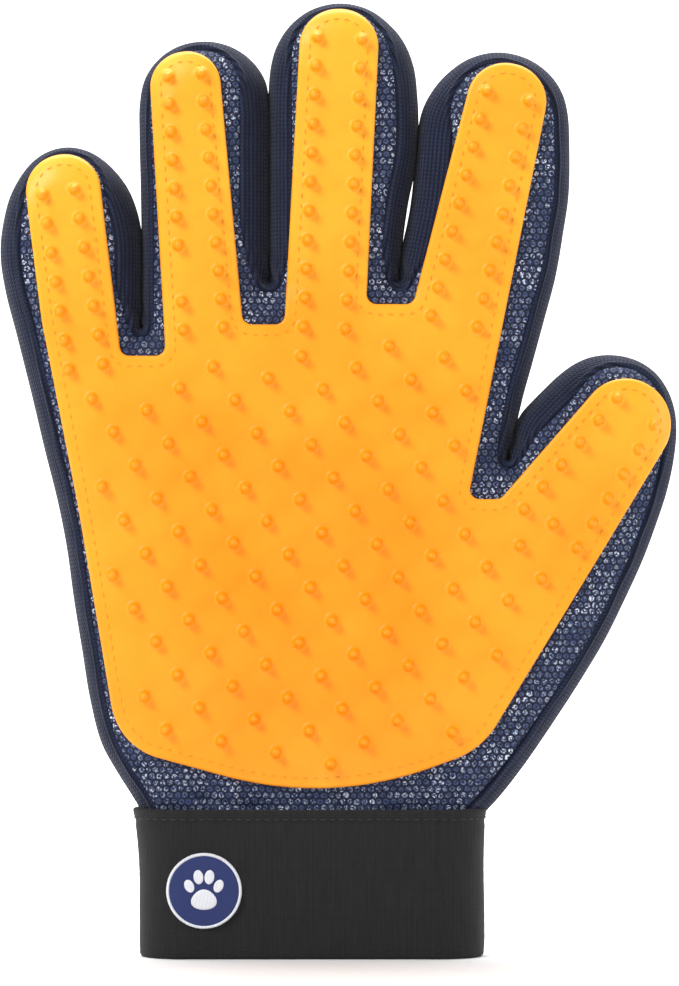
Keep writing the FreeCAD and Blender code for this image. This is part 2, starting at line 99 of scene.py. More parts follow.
def smooth_run(stations: Points, step: float) -> Points:
    """Runs a smooth line through stations, whose first two columns are x and z.

    Args:
        stations: one row a point; further columns are carried along.
        step: the spacing of the samples, in mm.

    Returns:
        The samples, one row each, with the same columns.
    """
    rows = np.vstack([2 * stations[0] - stations[1], stations, 2 * stations[-1] - stations[-2]])
    chords = np.sqrt(np.linalg.norm(np.diff(rows[:, :2], axis=0), axis=1))
    knots = np.concatenate([[0.0], np.cumsum(chords)])
    found = []
    for k in range(1, len(rows) - 2):
        t0, t1, t2, t3 = knots[k - 1:k + 3]
        t = np.linspace(t1, t2, 13)[:-1, None]
        a1 = (t1 - t) / (t1 - t0) * rows[k - 1] + (t - t0) / (t1 - t0) * rows[k]
        a2 = (t2 - t) / (t2 - t1) * rows[k] + (t - t1) / (t2 - t1) * rows[k + 1]
        a3 = (t3 - t) / (t3 - t2) * rows[k + 1] + (t - t2) / (t3 - t2) * rows[k + 2]
        b1 = (t2 - t) / (t2 - t0) * a1 + (t - t0) / (t2 - t0) * a2
        b2 = (t3 - t) / (t3 - t1) * a2 + (t - t1) / (t3 - t1) * a3
        found.append((t2 - t) / (t2 - t1) * b1 + (t - t1) / (t2 - t1) * b2)
    found.append(rows[-2:-1])
    dense = np.vstack(found)
    return respaced(dense, step)


def lengths(line: Points) -> Points:
    """Distance along a line of points, from its first point."""
    steps = np.linalg.norm(np.diff(line[:, :2], axis=0), axis=1)
    return np.concatenate([[0.0], np.cumsum(steps)])


def respaced(line: Points, step: float) -> Points:
    """The same line with evenly spaced points.

    Args:
        line: the points, one row each.
        step: the spacing in mm.

    Returns:
        The new points, with the same columns.
    """
    along = lengths(line)
    count = max(2, round(along[-1] / step) + 1)
    at = np.linspace(0, along[-1], count)
    return np.column_stack([np.interp(at, along, line[:, c]) for c in range(line.shape[1])])


def inward(line: Points, closed: bool) -> Points:
    """Unit normals to the right of a clockwise line of points.

    Args:
        line: the points.
        closed: whether the last point joins the first.

    Returns:
        One normal a point.
    """
    ahead = np.roll(line[:, :2], -1, axis=0) - line[:, :2]
    if not closed:
        ahead[-1] = ahead[-2]
    ahead /= np.linalg.norm(ahead, axis=1)[:, None]
    back = np.roll(ahead, 1, axis=0)
    if not closed:
        back[0] = ahead[0]
    mean = ahead + back
    mean /= np.linalg.norm(mean, axis=1)[:, None]
    return np.column_stack([mean[:, 1], -mean[:, 0]])


def rounded_loop(corners: Iterable[tuple[float, float, float]], step: float) -> Points:
    """A closed polygon with rounded corners.

    Args:
        corners: x, z and radius of each corner, clockwise.
        step: the spacing of the samples, in mm.

    Returns:
        The points of the loop; the first isn't repeated.
    """
    corners = list(corners)
    spots = np.array([c[:2] for c in corners])
    line = []
    for k, (x, z, radius) in enumerate(corners):
        spot = spots[k]
        back = spots[k - 1] - spot
        ahead = spots[(k + 1) % len(spots)] - spot
        back /= np.linalg.norm(back)
        ahead /= np.linalg.norm(ahead)
        half = math.acos(float(np.clip(back @ ahead, -1, 1))) / 2
        middle = (back + ahead) / np.linalg.norm(back + ahead)
        centre = spot + middle * (radius / math.sin(half))
        first = spot + back * (radius / math.tan(half)) - centre
        last = spot + ahead * (radius / math.tan(half)) - centre
        turn = math.atan2(first[0] * last[1] - first[1] * last[0], float(first @ last))
        pieces = max(2, math.ceil(abs(turn) * radius / step), math.ceil(abs(turn) / 0.25))
        for j in range(pieces + 1):
            angle = turn * j / pieces
            cos, sin = math.cos(angle), math.sin(angle)
            line.append(centre + [first[0] * cos - first[1] * sin, first[0] * sin + first[1] * cos])
    dense = []
    for k, point in enumerate(line):
        following = line[(k + 1) % len(line)]
        pieces = max(1, math.ceil(float(np.linalg.norm(following - point)) / step))
        dense += [point + (following - point) * (j / pieces) for j in range(pieces)]
    return np.array(dense)


def gap_to(points: Points, line: Points, closed: bool) -> Points:
    """Distance from each point to a line of points.

    Args:
        points: the flat points to measure from.
        line: the points of the line.
        closed: whether the last of them joins the first.

    Returns:
        The distances.
    """
    a = line[:, :2]
    b = np.roll(a, -1, axis=0)
    if not closed:
        a, b = a[:-1], b[:-1]
    run = b - a
    size = np.maximum((run * run).sum(1), 1e-12)
    found = np.empty(len(points))
    for k in range(0, len(points), BATCH):
        p = points[k:k + BATCH, None, :] - a[None]
        t = np.clip((p * run).sum(2) / size, 0, 1)
        away = p - t[:, :, None] * run
        found[k:k + BATCH] = np.sqrt((away * away).sum(2).min(1))
    return found


def inside(points: Points, loop: Points) -> Points:
    """Which points lie inside a closed loop.

    Args:
        points: the flat points.
        loop: the points of the loop.

    Returns:
        True for each point inside.
    """
    a = loop[:, :2]
    b = np.roll(a, -1, axis=0)
    found = np.zeros(len(points), bool)
    for k in range(0, len(points), BATCH):
        x, z = points[k:k + BATCH, 0:1], points[k:k + BATCH, 1:2]
        spans = (a[:, 1] > z) != (b[:, 1] > z)
        slope = (b[:, 0] - a[:, 0]) / np.where(b[:, 1] == a[:, 1], 1e-9, b[:, 1] - a[:, 1])
        crosses = x < a[:, 0] + (z - a[:, 1]) * slope
        found[k:k + BATCH] = (spans & crosses).sum(1) % 2 == 1
    return found


def signed_gap(points: Points, loop: Points) -> Points:
    """Distance to a loop, positive inside it."""
    return np.where(inside(points, loop), 1.0, -1.0) * gap_to(points, loop, True)


def lattice(loop: Points, step: float, margin: float) -> Points:
    """Evenly spread points inside a loop, no nearer to it than a margin.

    Args:
        loop: the points of the loop.
        step: the distance between neighbours.
        margin: the least distance to the loop.

    Returns:
        The points.
    """
    low, high = loop[:, :2].min(0), loop[:, :2].max(0)
    rows = np.arange(low[1], high[1], step * math.sqrt(0.75))
    grid = []
    for k, z in enumerate(rows):
        x = np.arange(low[0] + (k % 2) * step / 2, high[0], step)
        grid.append(np.column_stack([x, np.full(len(x), z)]))
    spots = np.vstack(grid)
    spots = spots[inside(spots, loop)]
    return spots[gap_to(spots, loop, True) > margin]


def fill(loop: Points, spots: Points) -> tuple[Points, Points]:
    """Triangulates the inside of a loop.

    Args:
        loop: the boundary, whose points come first in the result.
        spots: the points inside it.

    Returns:
        The flat points and the triangles' corner numbers.
    """
    flat = np.vstack([loop[:, :2], spots])
    count = len(loop)
    edges = [(k, (k + 1) % count) for k in range(count)]
    points, _, faces, origins, _, _ = delaunay_2d_cdt(
        [Vector(p) for p in flat], edges, [], 1, 1e-6)
    place = np.full(len(points), -1)
    extra = []
    for k, origin in enumerate(origins):
        if origin:
            place[k] = origin[0]
        else:
            place[k] = len(flat) + len(extra)
            extra.append(tuple(points[k]))
    if extra:
        flat = np.vstack([flat, np.array(extra)])
    return flat, place[np.array(faces)]


# ------------------------------------------------------------------ surfaces and pieces

@dataclass
class Surface:
    """A surface in mm, with a weave coordinate at every point for its finish."""

    points: Points
    faces: list[tuple[int, ...]]
    weave: Points
    tone: list[int] = field(default_factory=list)

    def joined(self, other: "Surface") -> "Surface":
        """This surface and another as one.

        Args:
            other: the other surface.

        Returns:
            The joined surface.
        """
        shift = len(self.points)
        faces = self.faces + [tuple(k + shift for k in face) for face in other.faces]
        tone = (self.tone or [0] * len(self.faces)) + (other.tone or [0] * len(other.faces))
        return Surface(
            np.vstack([self.points, other.points]), faces,
            np.vstack([self.weave, other.weave]), tone)

    def normals(self) -> Points:
        """Unit normals at the points, from the faces around each.

        Returns:
            One normal a point.
        """
        total = np.zeros_like(self.points)
        for size in (3, 4):
            chosen = np.array([f for f in self.faces if len(f) == size])
            if not len(chosen):
                continue
            diagonal = self.points[chosen[:, 2]] - self.points[chosen[:, 0]]
            other = self.points[chosen[:, -1]] - self.points[chosen[:, 1]]
            if size == 3:
                other = self.points[chosen[:, 2]] - self.points[chosen[:, 1]]
            cross = np.cross(diagonal, other)
            for corner in range(size):
                np.add.at(total, chosen[:, corner], cross)
        size = np.linalg.norm(total, axis=1)[:, None]
        return total / np.maximum(size, 1e-12)

    def centres(self) -> Points:
        """The middle of each face."""
        return np.array([self.points[list(face)].mean(0) for face in self.faces])

    def piece(self, name: str, keep: Points | None = None) -> bpy.types.Object:
        """Makes the object of some of the faces.

        Args:
            name: the object's name.
            keep: which faces it has; all of them when left out.

        Returns:
            The new object, linked to the scene.
        """
        chosen = range(len(self.faces)) if keep is None else np.flatnonzero(keep)
        faces = [self.faces[k] for k in chosen]
        used = np.unique(np.concatenate([np.array(face) for face in faces]))
        renumber = np.full(len(self.points), -1)
        renumber[used] = np.arange(len(used))
        mesh = bpy.data.meshes.new(name)
        mesh.from_pydata(
            (self.points[used] * MM).tolist(), [],
            [tuple(int(renumber[c]) for c in face) for face in faces])
        mesh.polygons.foreach_set("use_smooth", np.ones(len(faces), bool))
        if self.tone:
            mesh.polygons.foreach_set(
                "material_index", np.array([self.tone[k] for k in chosen], np.int32))
        weave = mesh.attributes.new("weave", "FLOAT_VECTOR", "POINT")
        weave.data.foreach_set("vector", self.weave[used].astype(np.float32).ravel())
        mesh.normals_split_custom_set_from_vertices(self.normals()[used].tolist())
        mesh.validate()
        made = bpy.data.objects.new(name, mesh)
        bpy.context.scene.collection.objects.link(made)
        return made


def grid_faces(rows: int, columns: int, closed: bool = False, flip: bool = False) -> list:
    """Quads of a grid of points stored row by row.

    Args:
        rows: how many rows of points.
        columns: how many points in a row.
        closed: whether the last row joins the first.
        flip: whether the quads face the other way.

    Returns:
        The quads' corner numbers.
    """
    faces = []
    for i in range(rows if closed else rows - 1):
        a, b = i * columns, ((i + 1) % rows) * columns
        for j in range(columns - 1):
            quad = (a + j, b + j, b + j + 1, a + j + 1)
            faces.append(quad[::-1] if flip else quad)
    return faces


def capped(points: Points, faces: list, border: Points, cap: Points, triangles: Points,
           flip: bool) -> Points:
    """Closes the border of a grid with a filled face.

    Args:
        points: the points so far.
        faces: the faces so far, which get the new ones too.
        border: the numbers of the border's points.
        cap: the filled face's points, the border's own first.
        triangles: the filled face's triangles.
        flip: whether they face the other way.

    Returns:
        The points with the new ones behind them.
    """
    count = len(border)
    numbers = np.concatenate([border, len(points) + np.arange(len(cap) - count)])
    faces += [tuple(face) for face in numbers[triangles[:, ::-1] if flip else triangles]]
    return np.vstack([points, cap[count:]])


# ------------------------------------------------------------------ the glove's form

# Outline of the cloth hand from the palm side, clockwise from the cuff's left, in mm:
# x, z and the visible width of the knit strip there. Each run is one smooth line.
LITTLE_SIDE = (
    (-40.2, 30.0, 3.4), (-40.9, 34.0, 3.4), (-42.6, 37.2, 3.4), (-44.7, 40.6, 3.4),
    (-47.6, 45.2, 3.4), (-51.6, 52.5, 3.5),
    (-54.4, 63.3, 3.5), (-56.4, 75.6, 3.5), (-58.4, 87.9, 3.6), (-60.2, 101.0, 3.6),
    (-62.5, 112.6, 3.7), (-65.6, 124.9, 3.9), (-68.8, 138.4, 4.2), (-72.5, 153.2, 4.7),
    (-75.4, 164.5, 4.9), (-76.6, 173.0, 4.9), (-76.1, 180.0, 4.6), (-73.9, 188.3, 3.4),
    (-69.4, 195.3, 2.1), (-65.0, 198.4, 1.5), (-60.1, 199.4, 1.4), (-55.2, 198.3, 1.6),
    (-50.6, 195.2, 2.7), (-46.2, 189.9, 5.0), (-43.7, 184.0, 6.1), (-42.4, 177.0, 6.2),
    (-42.35, 165.0, 5.6), (-42.3, 158.6, 3.6), (-42.3, 155.3, 2.6),
)
RING_RUN = (
    (-41.8, 155.3, 2.4), (-41.75, 160.0, 2.6), (-41.7, 176.0, 2.7), (-41.9, 190.0, 2.6),
    (-42.2, 203.0, 2.5), (-42.1, 210.8, 2.2), (-40.9, 216.5, 1.9), (-37.7, 221.2, 1.7),
    (-32.6, 224.5, 1.7), (-26.3, 225.6, 1.9), (-20.4, 224.4, 2.6), (-15.4, 221.1, 4.2),
    (-12.0, 216.2, 5.9), (-10.9, 209.5, 6.7), (-10.8, 195.0, 6.8), (-10.8, 180.0, 6.5),
    (-10.8, 172.0, 5.0), (-10.8, 167.0, 3.4),
)
MIDDLE_RUN = (
    (-10.3, 167.0, 3.2), (-10.3, 172.0, 4.4), (-10.35, 180.0, 5.3), (-10.4, 200.0, 5.5),
    (-10.3, 212.0, 5.3), (-9.7, 219.7, 4.7), (-8.2, 224.8, 3.6), (-4.9, 229.8, 2.3),
    (0.2, 233.5, 1.7), (7.0, 235.0, 1.5), (13.9, 233.5, 1.7), (19.1, 229.7, 2.5),
    (22.5, 225.4, 3.7), (24.8, 219.5, 4.7), (25.7, 212.0, 5.0), (25.95, 205.0, 5.0),
    (25.4, 196.0, 5.0), (23.4, 186.0, 4.9), (22.0, 176.0, 4.3), (21.5, 170.5, 3.3),
    (21.4, 167.0, 2.7),
)
INDEX_RUN = (
    (21.9, 167.0, 3.2), (22.0, 170.5, 4.8), (23.0, 176.0, 6.8), (24.8, 185.0, 7.9),
    (26.0, 196.0, 8.2), (26.6, 203.0, 8.0), (27.7, 208.6, 6.8), (30.0, 213.2, 5.2),
    (33.7, 217.6, 3.7), (39.2, 221.4, 2.9), (46.0, 222.9, 2.6), (52.8, 221.5, 2.6),
    (58.2, 217.9, 2.9), (61.5, 213.2, 3.2), (62.9, 208.0, 3.3), (63.3, 200.0, 3.3),
    (63.1, 188.0, 3.3), (61.8, 179.0, 3.3), (59.9, 168.0, 3.4), (57.0, 157.0, 3.5),
    (54.0, 146.0, 3.6), (51.9, 138.5, 3.6), (50.6, 133.0, 3.4), (49.2, 127.0, 3.0),
    (48.35, 123.0, 2.4),
)
THUMB_RUN = (
    (48.85, 123.0, 2.6), (49.7, 127.2, 4.1), (50.8, 131.0, 5.2), (52.4, 133.9, 5.8),
    (54.6, 136.4, 6.0), (57.9, 139.7, 5.9), (61.6, 143.2, 5.5), (65.4, 145.9, 4.5),
    (69.3, 147.5, 3.4), (74.2, 148.0, 2.3), (79.7, 146.9, 1.9), (84.3, 144.1, 1.9),
    (87.4, 140.1, 2.0), (89.2, 135.4, 2.2), (89.8, 130.4, 2.5), (89.3, 123.8, 2.9),
    (87.6, 115.4, 3.1), (85.1, 107.6, 3.2), (81.6, 98.2, 3.2), (77.2, 88.5, 3.3),
    (72.0, 78.0, 3.4), (66.0, 68.0, 3.5), (59.4, 57.8, 3.7), (53.0, 48.4, 3.9),
    (48.2, 42.0, 4.0), (45.0, 38.2, 4.0), (42.6, 35.6, 4.0), (41.0, 33.0, 4.0),
    (40.3, 30.0, 4.0),
)

# Fold in the mesh between the pad's heel and the cuff, on the little finger's side.
HEEL_FOLD = (
    (-47.0, 53.5), (-42.3, 47.2), (-37.6, 43.3), (-30.0, 40.2), (-20.0, 37.8), (-8.0, 36.6),
)

LITTLE_HINGE_Z = 156.5
KNUCKLE_Z = 166.5
THUMB_HINGE = np.array([59.7, 109.9])
THUMB_NORMAL = np.array([math.sin(math.radians(44.4)), math.cos(math.radians(44.4))])
CROTCH = np.array([48.6, 122.0])
WEB_SLOPE = 0.235            # the thumb's slit leans this far to the right for each mm up
LITTLE_SLIT_X = -42.05
RING_SLIT_X = -10.55
INDEX_SLIT = (21.65, 0.125)  # x at the knuckles, and its slope
THUMB_TOP_Z = 152.0          # the thumb lies below this
SLIT_FEET = np.array([       # the foot of each slit between two fingers
    [LITTLE_SLIT_X, 155.0], [RING_SLIT_X, 166.4], [INDEX_SLIT[0], 166.4], CROTCH,
])


def limb_at(spots: Points) -> Points:
    """Which body each flat point belongs to, as positions in Limb's order.

    Args:
        spots: the flat points.

    Returns:
        One position a point.
    """
    x, z = spots[:, 0], spots[:, 1]
    found = np.zeros(len(spots), int)
    order = list(Limb)
    past_thumb = (spots - THUMB_HINGE) @ THUMB_NORMAL > 0
    right_of_web = x > CROTCH[0] + WEB_SLOPE * (z - CROTCH[1])
    found[past_thumb & right_of_web & (z < THUMB_TOP_Z)] = order.index(Limb.THUMB)
    index_x = INDEX_SLIT[0] + INDEX_SLIT[1] * (z - KNUCKLE_Z)
    up = z > KNUCKLE_Z
    found[up & (x > index_x)] = order.index(Limb.INDEX)
    found[up & (x <= index_x)] = order.index(Limb.MIDDLE)
    found[up & (x < RING_SLIT_X)] = order.index(Limb.RING)
    found[(z > LITTLE_HINGE_Z) & (x < LITTLE_SLIT_X)] = order.index(Limb.LITTLE)
    return found


@dataclass(frozen=True)
class Roll:
    """How the cloth rolls from the glove's outline up to its flat face."""

    height: float = 10.0
    reach: float = 12.5
    power: float = 2.45

    def rise(self, gap: Points) -> Points:
        """Height of the cloth at a distance from the outline."""
        left = 1 - np.clip(gap / self.reach, 0, 1)
        return self.height * (1 - left ** self.power) ** (1 / self.power)

    def table(self) -> tuple[Points, Points, Points]:
        """The roll's distance, height and the length of cloth from the outline.

        Returns:
            The distances, the heights and the lengths.
        """
        gap = (1 - np.cos(np.linspace(0, math.pi / 2, 900))) * self.reach * 1.4
        rise = self.rise(gap)
        along = lengths(np.column_stack([gap, rise]))
        return gap, rise, along


@dataclass
class GloveForm:
    """The cloth body: its outline, its rolls and the small waves in its faces."""

    step: float = 0.95
    slit_turns: int = 9
    palm: Roll = Roll()
    back: Roll = Roll(10.0, 14.0, 2.2)
    outline: Points = field(init=False)
    run_of: Points = field(init=False)

    def __post_init__(self) -> None:
        """Joins the five runs with a small round at the foot of each slit."""
        runs = [
            smooth_run(np.array(run), self.step)
            for run in (LITTLE_SIDE, RING_RUN, MIDDLE_RUN, INDEX_RUN, THUMB_RUN)
        ]
        line = [runs[0]]
        for left, right in zip(runs, runs[1:]):
            line += [self.slit_foot(left[-1], right[0]), right]
        self.outline = np.vstack(line)
        self.run_of = np.repeat(
            [number // 2 + 1 if number % 2 == 0 else 0 for number in range(len(line))],
            [len(part) for part in line])

    def slit_foot(self, left: Points, right: Points) -> Points:
        """The half round below a slit, between its two sides.

        Args:
            left: the last point of the slit's left side.
            right: the first point of its right side.

        Returns:
            The points between them.
        """
        middle = (left + right) / 2
        half = (right[:2] - left[:2]) / 2
        down = np.array([half[1], -half[0]])
        turns = np.linspace(0, math.pi, self.slit_turns + 2)[1:-1]
        share = (1 - np.cos(turns)) / 2
        rows = []
        for turn, part in zip(turns, share):
            spot = middle[:2] - half * math.cos(turn) + down * math.sin(turn)
            knit = left[2] + (right[2] - left[2]) * part
            rows.append([*spot, knit - 0.5 * math.sin(turn)])
        return np.array(rows)

    def roll(self, side: Side) -> Roll:
        """The roll on one side."""
        return self.palm if side is Side.PALM else self.back

    def wave(self, x: Points, z: Points, side: Side) -> Points:
        """Small waves of the cloth's face, in mm outwards, growing to gathers at the wrist.

        Args:
            x: the places across the glove.
            z: the places up it.
            side: which face.

        Returns:
            The waves there.
        """
        turn = 0.0 if side is Side.PALM else 1.7
        soft = 0.32 * np.sin(x / 7.9 + 0.8 * np.sin(z / 17.0) + turn)
        soft += 0.26 * np.sin(z / 9.3 + 0.9 * np.sin(x / 14.0) - turn)
        near = np.exp(-np.clip(z - 36.0, 0, None) / 6.5)
        pleat = 0.55 * np.sin(x / 1.35 + 1.4 * np.sin(x / 6.1 + turn) + z / 9.0)
        pleat += 0.35 * np.sin(x / 2.3 + 2.0 * np.sin(x / 11.0) - turn)
        return soft + near * pleat

    def tuck(self, z: Points) -> Points:
        """How far the hand narrows in depth where it runs into the cuff."""
        t = np.clip((z - 35.0) / 15.0, 0, 1)
        return 0.84 + 0.16 * (t * t * (3 - 2 * t))

    def face(self, spots: Points, side: Side, lift: Points | float = 0.0) -> Points:
        """Places flat points on the cloth's face.

        Args:
            spots: x and z of each.
            side: which face.
            lift: how far outwards from it.

        Returns:
            The points in space.
        """
        gap = gap_to(spots, self.outline, False)
        rise = self.roll(side).rise(gap)
        x, z = spots[:, 0], spots[:, 1]
        share = rise / self.roll(side).height
        depth = rise * self.tuck(z) + self.wave(x, z, side) * share + lift
        return np.column_stack([x, side.value * depth, z])


# ------------------------------------------------------------------ finishes

class NodeSheet:
    """Writes one material's nodes."""

    def __init__(self, name: str) -> None:
        """Starts a material with a plain shader.

        Args:
            name: the material's name.
        """
        self.material = bpy.data.materials.new(name)
        self.material.use_nodes = True
        self.nodes = self.material.node_tree.nodes
        self.links = self.material.node_tree.links
        self.shader = self.nodes["Principled BSDF"]

    def put(self, socket: bpy.types.NodeSocket, value: object) -> None:
        """Sets a socket, or links it when the value is a socket.

        Args:
            socket: the input.
            value: a socket or a plain value.
        """
        if isinstance(value, bpy.types.NodeSocket):
            self.links.new(value, socket)
        else:
            socket.default_value = value

    def math(self, operation: str, *values: object) -> bpy.types.NodeSocket:
        """A Math node's result.

        Args:
            operation: the node's operation.
            *values: its inputs.

        Returns:
            The result.
        """
        node = self.nodes.new("ShaderNodeMath")
        node.operation = operation
        for socket, value in zip(node.inputs, values):
            self.put(socket, value)
        return node.outputs[0]

    def vector(self, operation: str, *values: object) -> bpy.types.NodeSocket:
        """A Vector Math node's result.

        Args:
            operation: the node's operation.
            *values: its inputs.

        Returns:
            The result.
        """
        node = self.nodes.new("ShaderNodeVectorMath")
        node.operation = operation
        for socket, value in zip(node.inputs, values):
            self.put(socket, value)
        return node.outputs["Value" if operation in ("LENGTH", "DISTANCE") else "Vector"]

    def times(self, first: object, second: object) -> bpy.types.NodeSocket:
        """One value times another."""
        return self.math("MULTIPLY", first, second)

    def plus(self, first: object, second: object) -> bpy.types.NodeSocket:
        """The sum of two values."""
        return self.math("ADD", first, second)

    def off_middle(self, value: object) -> bpy.types.NodeSocket:
        """How far a value from 0 to 1 is from its middle."""
        return self.math("ABSOLUTE", self.math("SUBTRACT", value, 0.5))

    def repeat(self, value: object, pitch: float) -> bpy.types.NodeSocket:
        """Counts from 0 to 1 over each pitch of a value."""
        return self.math("FRACT", self.math("DIVIDE", value, pitch))

    def spread(self, noise: object, low: float, high: float) -> bpy.types.NodeSocket:
        """Stretches the usual range of a noise onto another."""
        return self.remap(noise, 0.3, 0.7, low, high)

    def scaled(self, value: object, factor: float) -> bpy.types.NodeSocket:
        """A vector times a number.

        Args:
            value: the vector.
            factor: the number.

        Returns:
            The result.
        """
        made = self.vector("SCALE", value)
        made.node.inputs["Scale"].default_value = factor
        return made

    def weave(self, scale: tuple[float, float, float] = (1, 1, 1)) -> bpy.types.NodeSocket:
        """The piece's weave coordinate in mm, scaled.

        Args:
            scale: what each part is multiplied by.

        Returns:
            The coordinate.
        """
        node = self.nodes.new("ShaderNodeAttribute")
        node.attribute_name = "weave"
        return self.vector("MULTIPLY", node.outputs["Vector"], scale)

    def parts(self, value: bpy.types.NodeSocket) -> list[bpy.types.NodeSocket]:
        """The three parts of a vector.

        Args:
            value: the vector.

        Returns:
            Its parts.
        """
        node = self.nodes.new("ShaderNodeSeparateXYZ")
        self.put(node.inputs[0], value)
        return list(node.outputs)

    def combine(self, *values: object) -> bpy.types.NodeSocket:
        """A vector of three parts.

        Args:
            *values: the parts.

        Returns:
            The vector.
        """
        node = self.nodes.new("ShaderNodeCombineXYZ")
        for socket, value in zip(node.inputs, values):
            self.put(socket, value)
        return node.outputs[0]

    def noise(self, place: object, scale: float, detail: float = 2.0) -> bpy.types.NodeSocket:
        """Soft noise from 0 to 1.

        Args:
            place: the coordinate.
            scale: the noise's scale.
            detail: how many finer layers it has.

        Returns:
            The noise.
        """
        node = self.nodes.new("ShaderNodeTexNoise")
        self.put(node.inputs["Vector"], place)
        node.inputs["Scale"].default_value = scale
        node.inputs["Detail"].default_value = detail
        return node.outputs["Fac"]

    def speck(self, place: object) -> bpy.types.NodeSocket:
        """A steady random value for each whole step of the coordinate.

        Args:
            place: the coordinate.

        Returns:
            The random value.
        """
        node = self.nodes.new("ShaderNodeTexWhiteNoise")
        self.put(node.inputs["Vector"], place)
        return node.outputs["Value"]

    def remap(self, value: object, low: float, high: float, to_low: float = 0.0,
              to_high: float = 1.0) -> bpy.types.NodeSocket:
        """Maps a range onto another, clamped.

        Args:
            value: the value.
            low: the start of its range.
            high: the end of its range.
            to_low: what the start becomes.
            to_high: what the end becomes.

        Returns:
            The result.
        """
        node = self.nodes.new("ShaderNodeMapRange")
        self.put(node.inputs["Value"], value)
        for name, number in (("From Min", low), ("From Max", high),
                             ("To Min", to_low), ("To Max", to_high)):
            node.inputs[name].default_value = number
        return node.outputs["Result"]

    def blend(self, share: object, first: object, second: object) -> bpy.types.NodeSocket:
        """Mixes two colours.

        Args:
            share: how much of the second colour there is.
            first: the first colour.
            second: the second colour.

        Returns:
            The mixed colour.
        """
        node = self.nodes.new("ShaderNodeMix")
        node.data_type = "RGBA"
        self.put(node.inputs["Factor"], share)
        for socket, value in zip([s for s in node.inputs if s.type == "RGBA"], (first, second)):
            self.put(socket, (*value, 1.0) if isinstance(value, tuple) else value)
        return [s for s in node.outputs if s.type == "RGBA"][0]

    def bump(self, height: object, strength: float, distance_mm: float,
             under: object = None) -> bpy.types.NodeSocket:
        """A bumped normal, on top of another when one is given.

        Args:
            height: the height.
            strength: how strong the bump is.
            distance_mm: how far a height of 1 stands out.
            under: the normal that it lies on.

        Returns:
            The normal.
        """
        node = self.nodes.new("ShaderNodeBump")
        node.inputs["Strength"].default_value = strength
        node.inputs["Distance"].default_value = distance_mm * MM
        self.put(node.inputs["Height"], height)
        if under is not None:
            self.put(node.inputs["Normal"], under)
        return node.outputs["Normal"]

    def finish(self, colour: object, roughness: object, normal: object,
               **fixed: float) -> bpy.types.Material:
        """Connects the shader and sets its fixed sockets.

        Args:
            colour: the base colour.
            roughness: the roughness.
            normal: the bumped normal.
            **fixed: further sockets by name, with _ for a space.

        Returns:
            The material.
        """
        self.put(self.shader.inputs["Base Color"], colour)
        self.put(self.shader.inputs["Roughness"], roughness)
        self.put(self.shader.inputs["Normal"], normal)
        for name, value in fixed.items():
            self.shader.inputs[name.replace("_", " ")].default_value = value
        return self.material


@dataclass(frozen=True)
class SiliconeRubber:
    """Satin orange-yellow rubber with a faint mottle and fine moulding grain, a painted reflection
    that pales it away from the palm's middle, and painted shade on the nubs.
    """

    # light is the mottle's pale end, and also the colour of the painted reflection
    light: Colour = (1.0, 0.43, 0.022)
    deep: Colour = (0.95, 0.272, 0.0005)
    # nub is the painted shade of the nubs: a deeper orange laid on them by their height
    nub: Colour = (0.93, 0.262, 0.0)
    bloom: Colour = (1.0, 0.62, 0.16)
    heart: tuple[float, float, float] = (-5.0, 88.0, 0.0)  # the deepest colour, on the weave; the rubber is painted paler away from it, a painted reflection
    heart_reach: tuple[float, float] = (25.0, 110.0)

    def material(self) -> bpy.types.Material:
        """Builds the rubber.

        Returns:
            The material.
        """
        n = NodeSheet("silicone_rubber")
        place = n.weave()
        cloud = n.remap(n.noise(place, 0.035, 3.0), 0.35, 0.65, 0.0, 0.35)
        # painted reflection: paler with distance from the palm's middle, standing in for the white
        # surroundings mirrored in the glossy rubber
        away = n.vector("DISTANCE", place, self.heart)
        cloud = n.plus(cloud, n.remap(away, *self.heart_reach, 0.0, 0.65))
        grain = n.noise(place, 2.2, 3.0)
        fine = n.noise(place, 7.0, 2.0)
        dust = n.remap(n.noise(place, 1.3, 4.0), 0.62, 0.75, 0.0, 0.10)
        # painted shade on the nubs: deeper orange as they rise above the pad's face
        nub_shade_share = n.remap(n.parts(place)[2], 0.10, 0.9, 0.0, 0.55)
        colour = n.blend(cloud, self.deep, self.light)
        colour = n.blend(nub_shade_share, colour, self.nub)
        colour = n.blend(dust, colour, self.bloom)
        dimples = n.bump(n.noise(place, 0.22, 2.0), 0.30, 0.5)
        return n.finish(
            colour, n.spread(grain, 0.36, 0.47), n.bump(fine, 0.25, 0.05, dimples),
            Subsurface_Weight=0.03, Subsurface_Scale=0.001, Specular_IOR_Level=0.33)


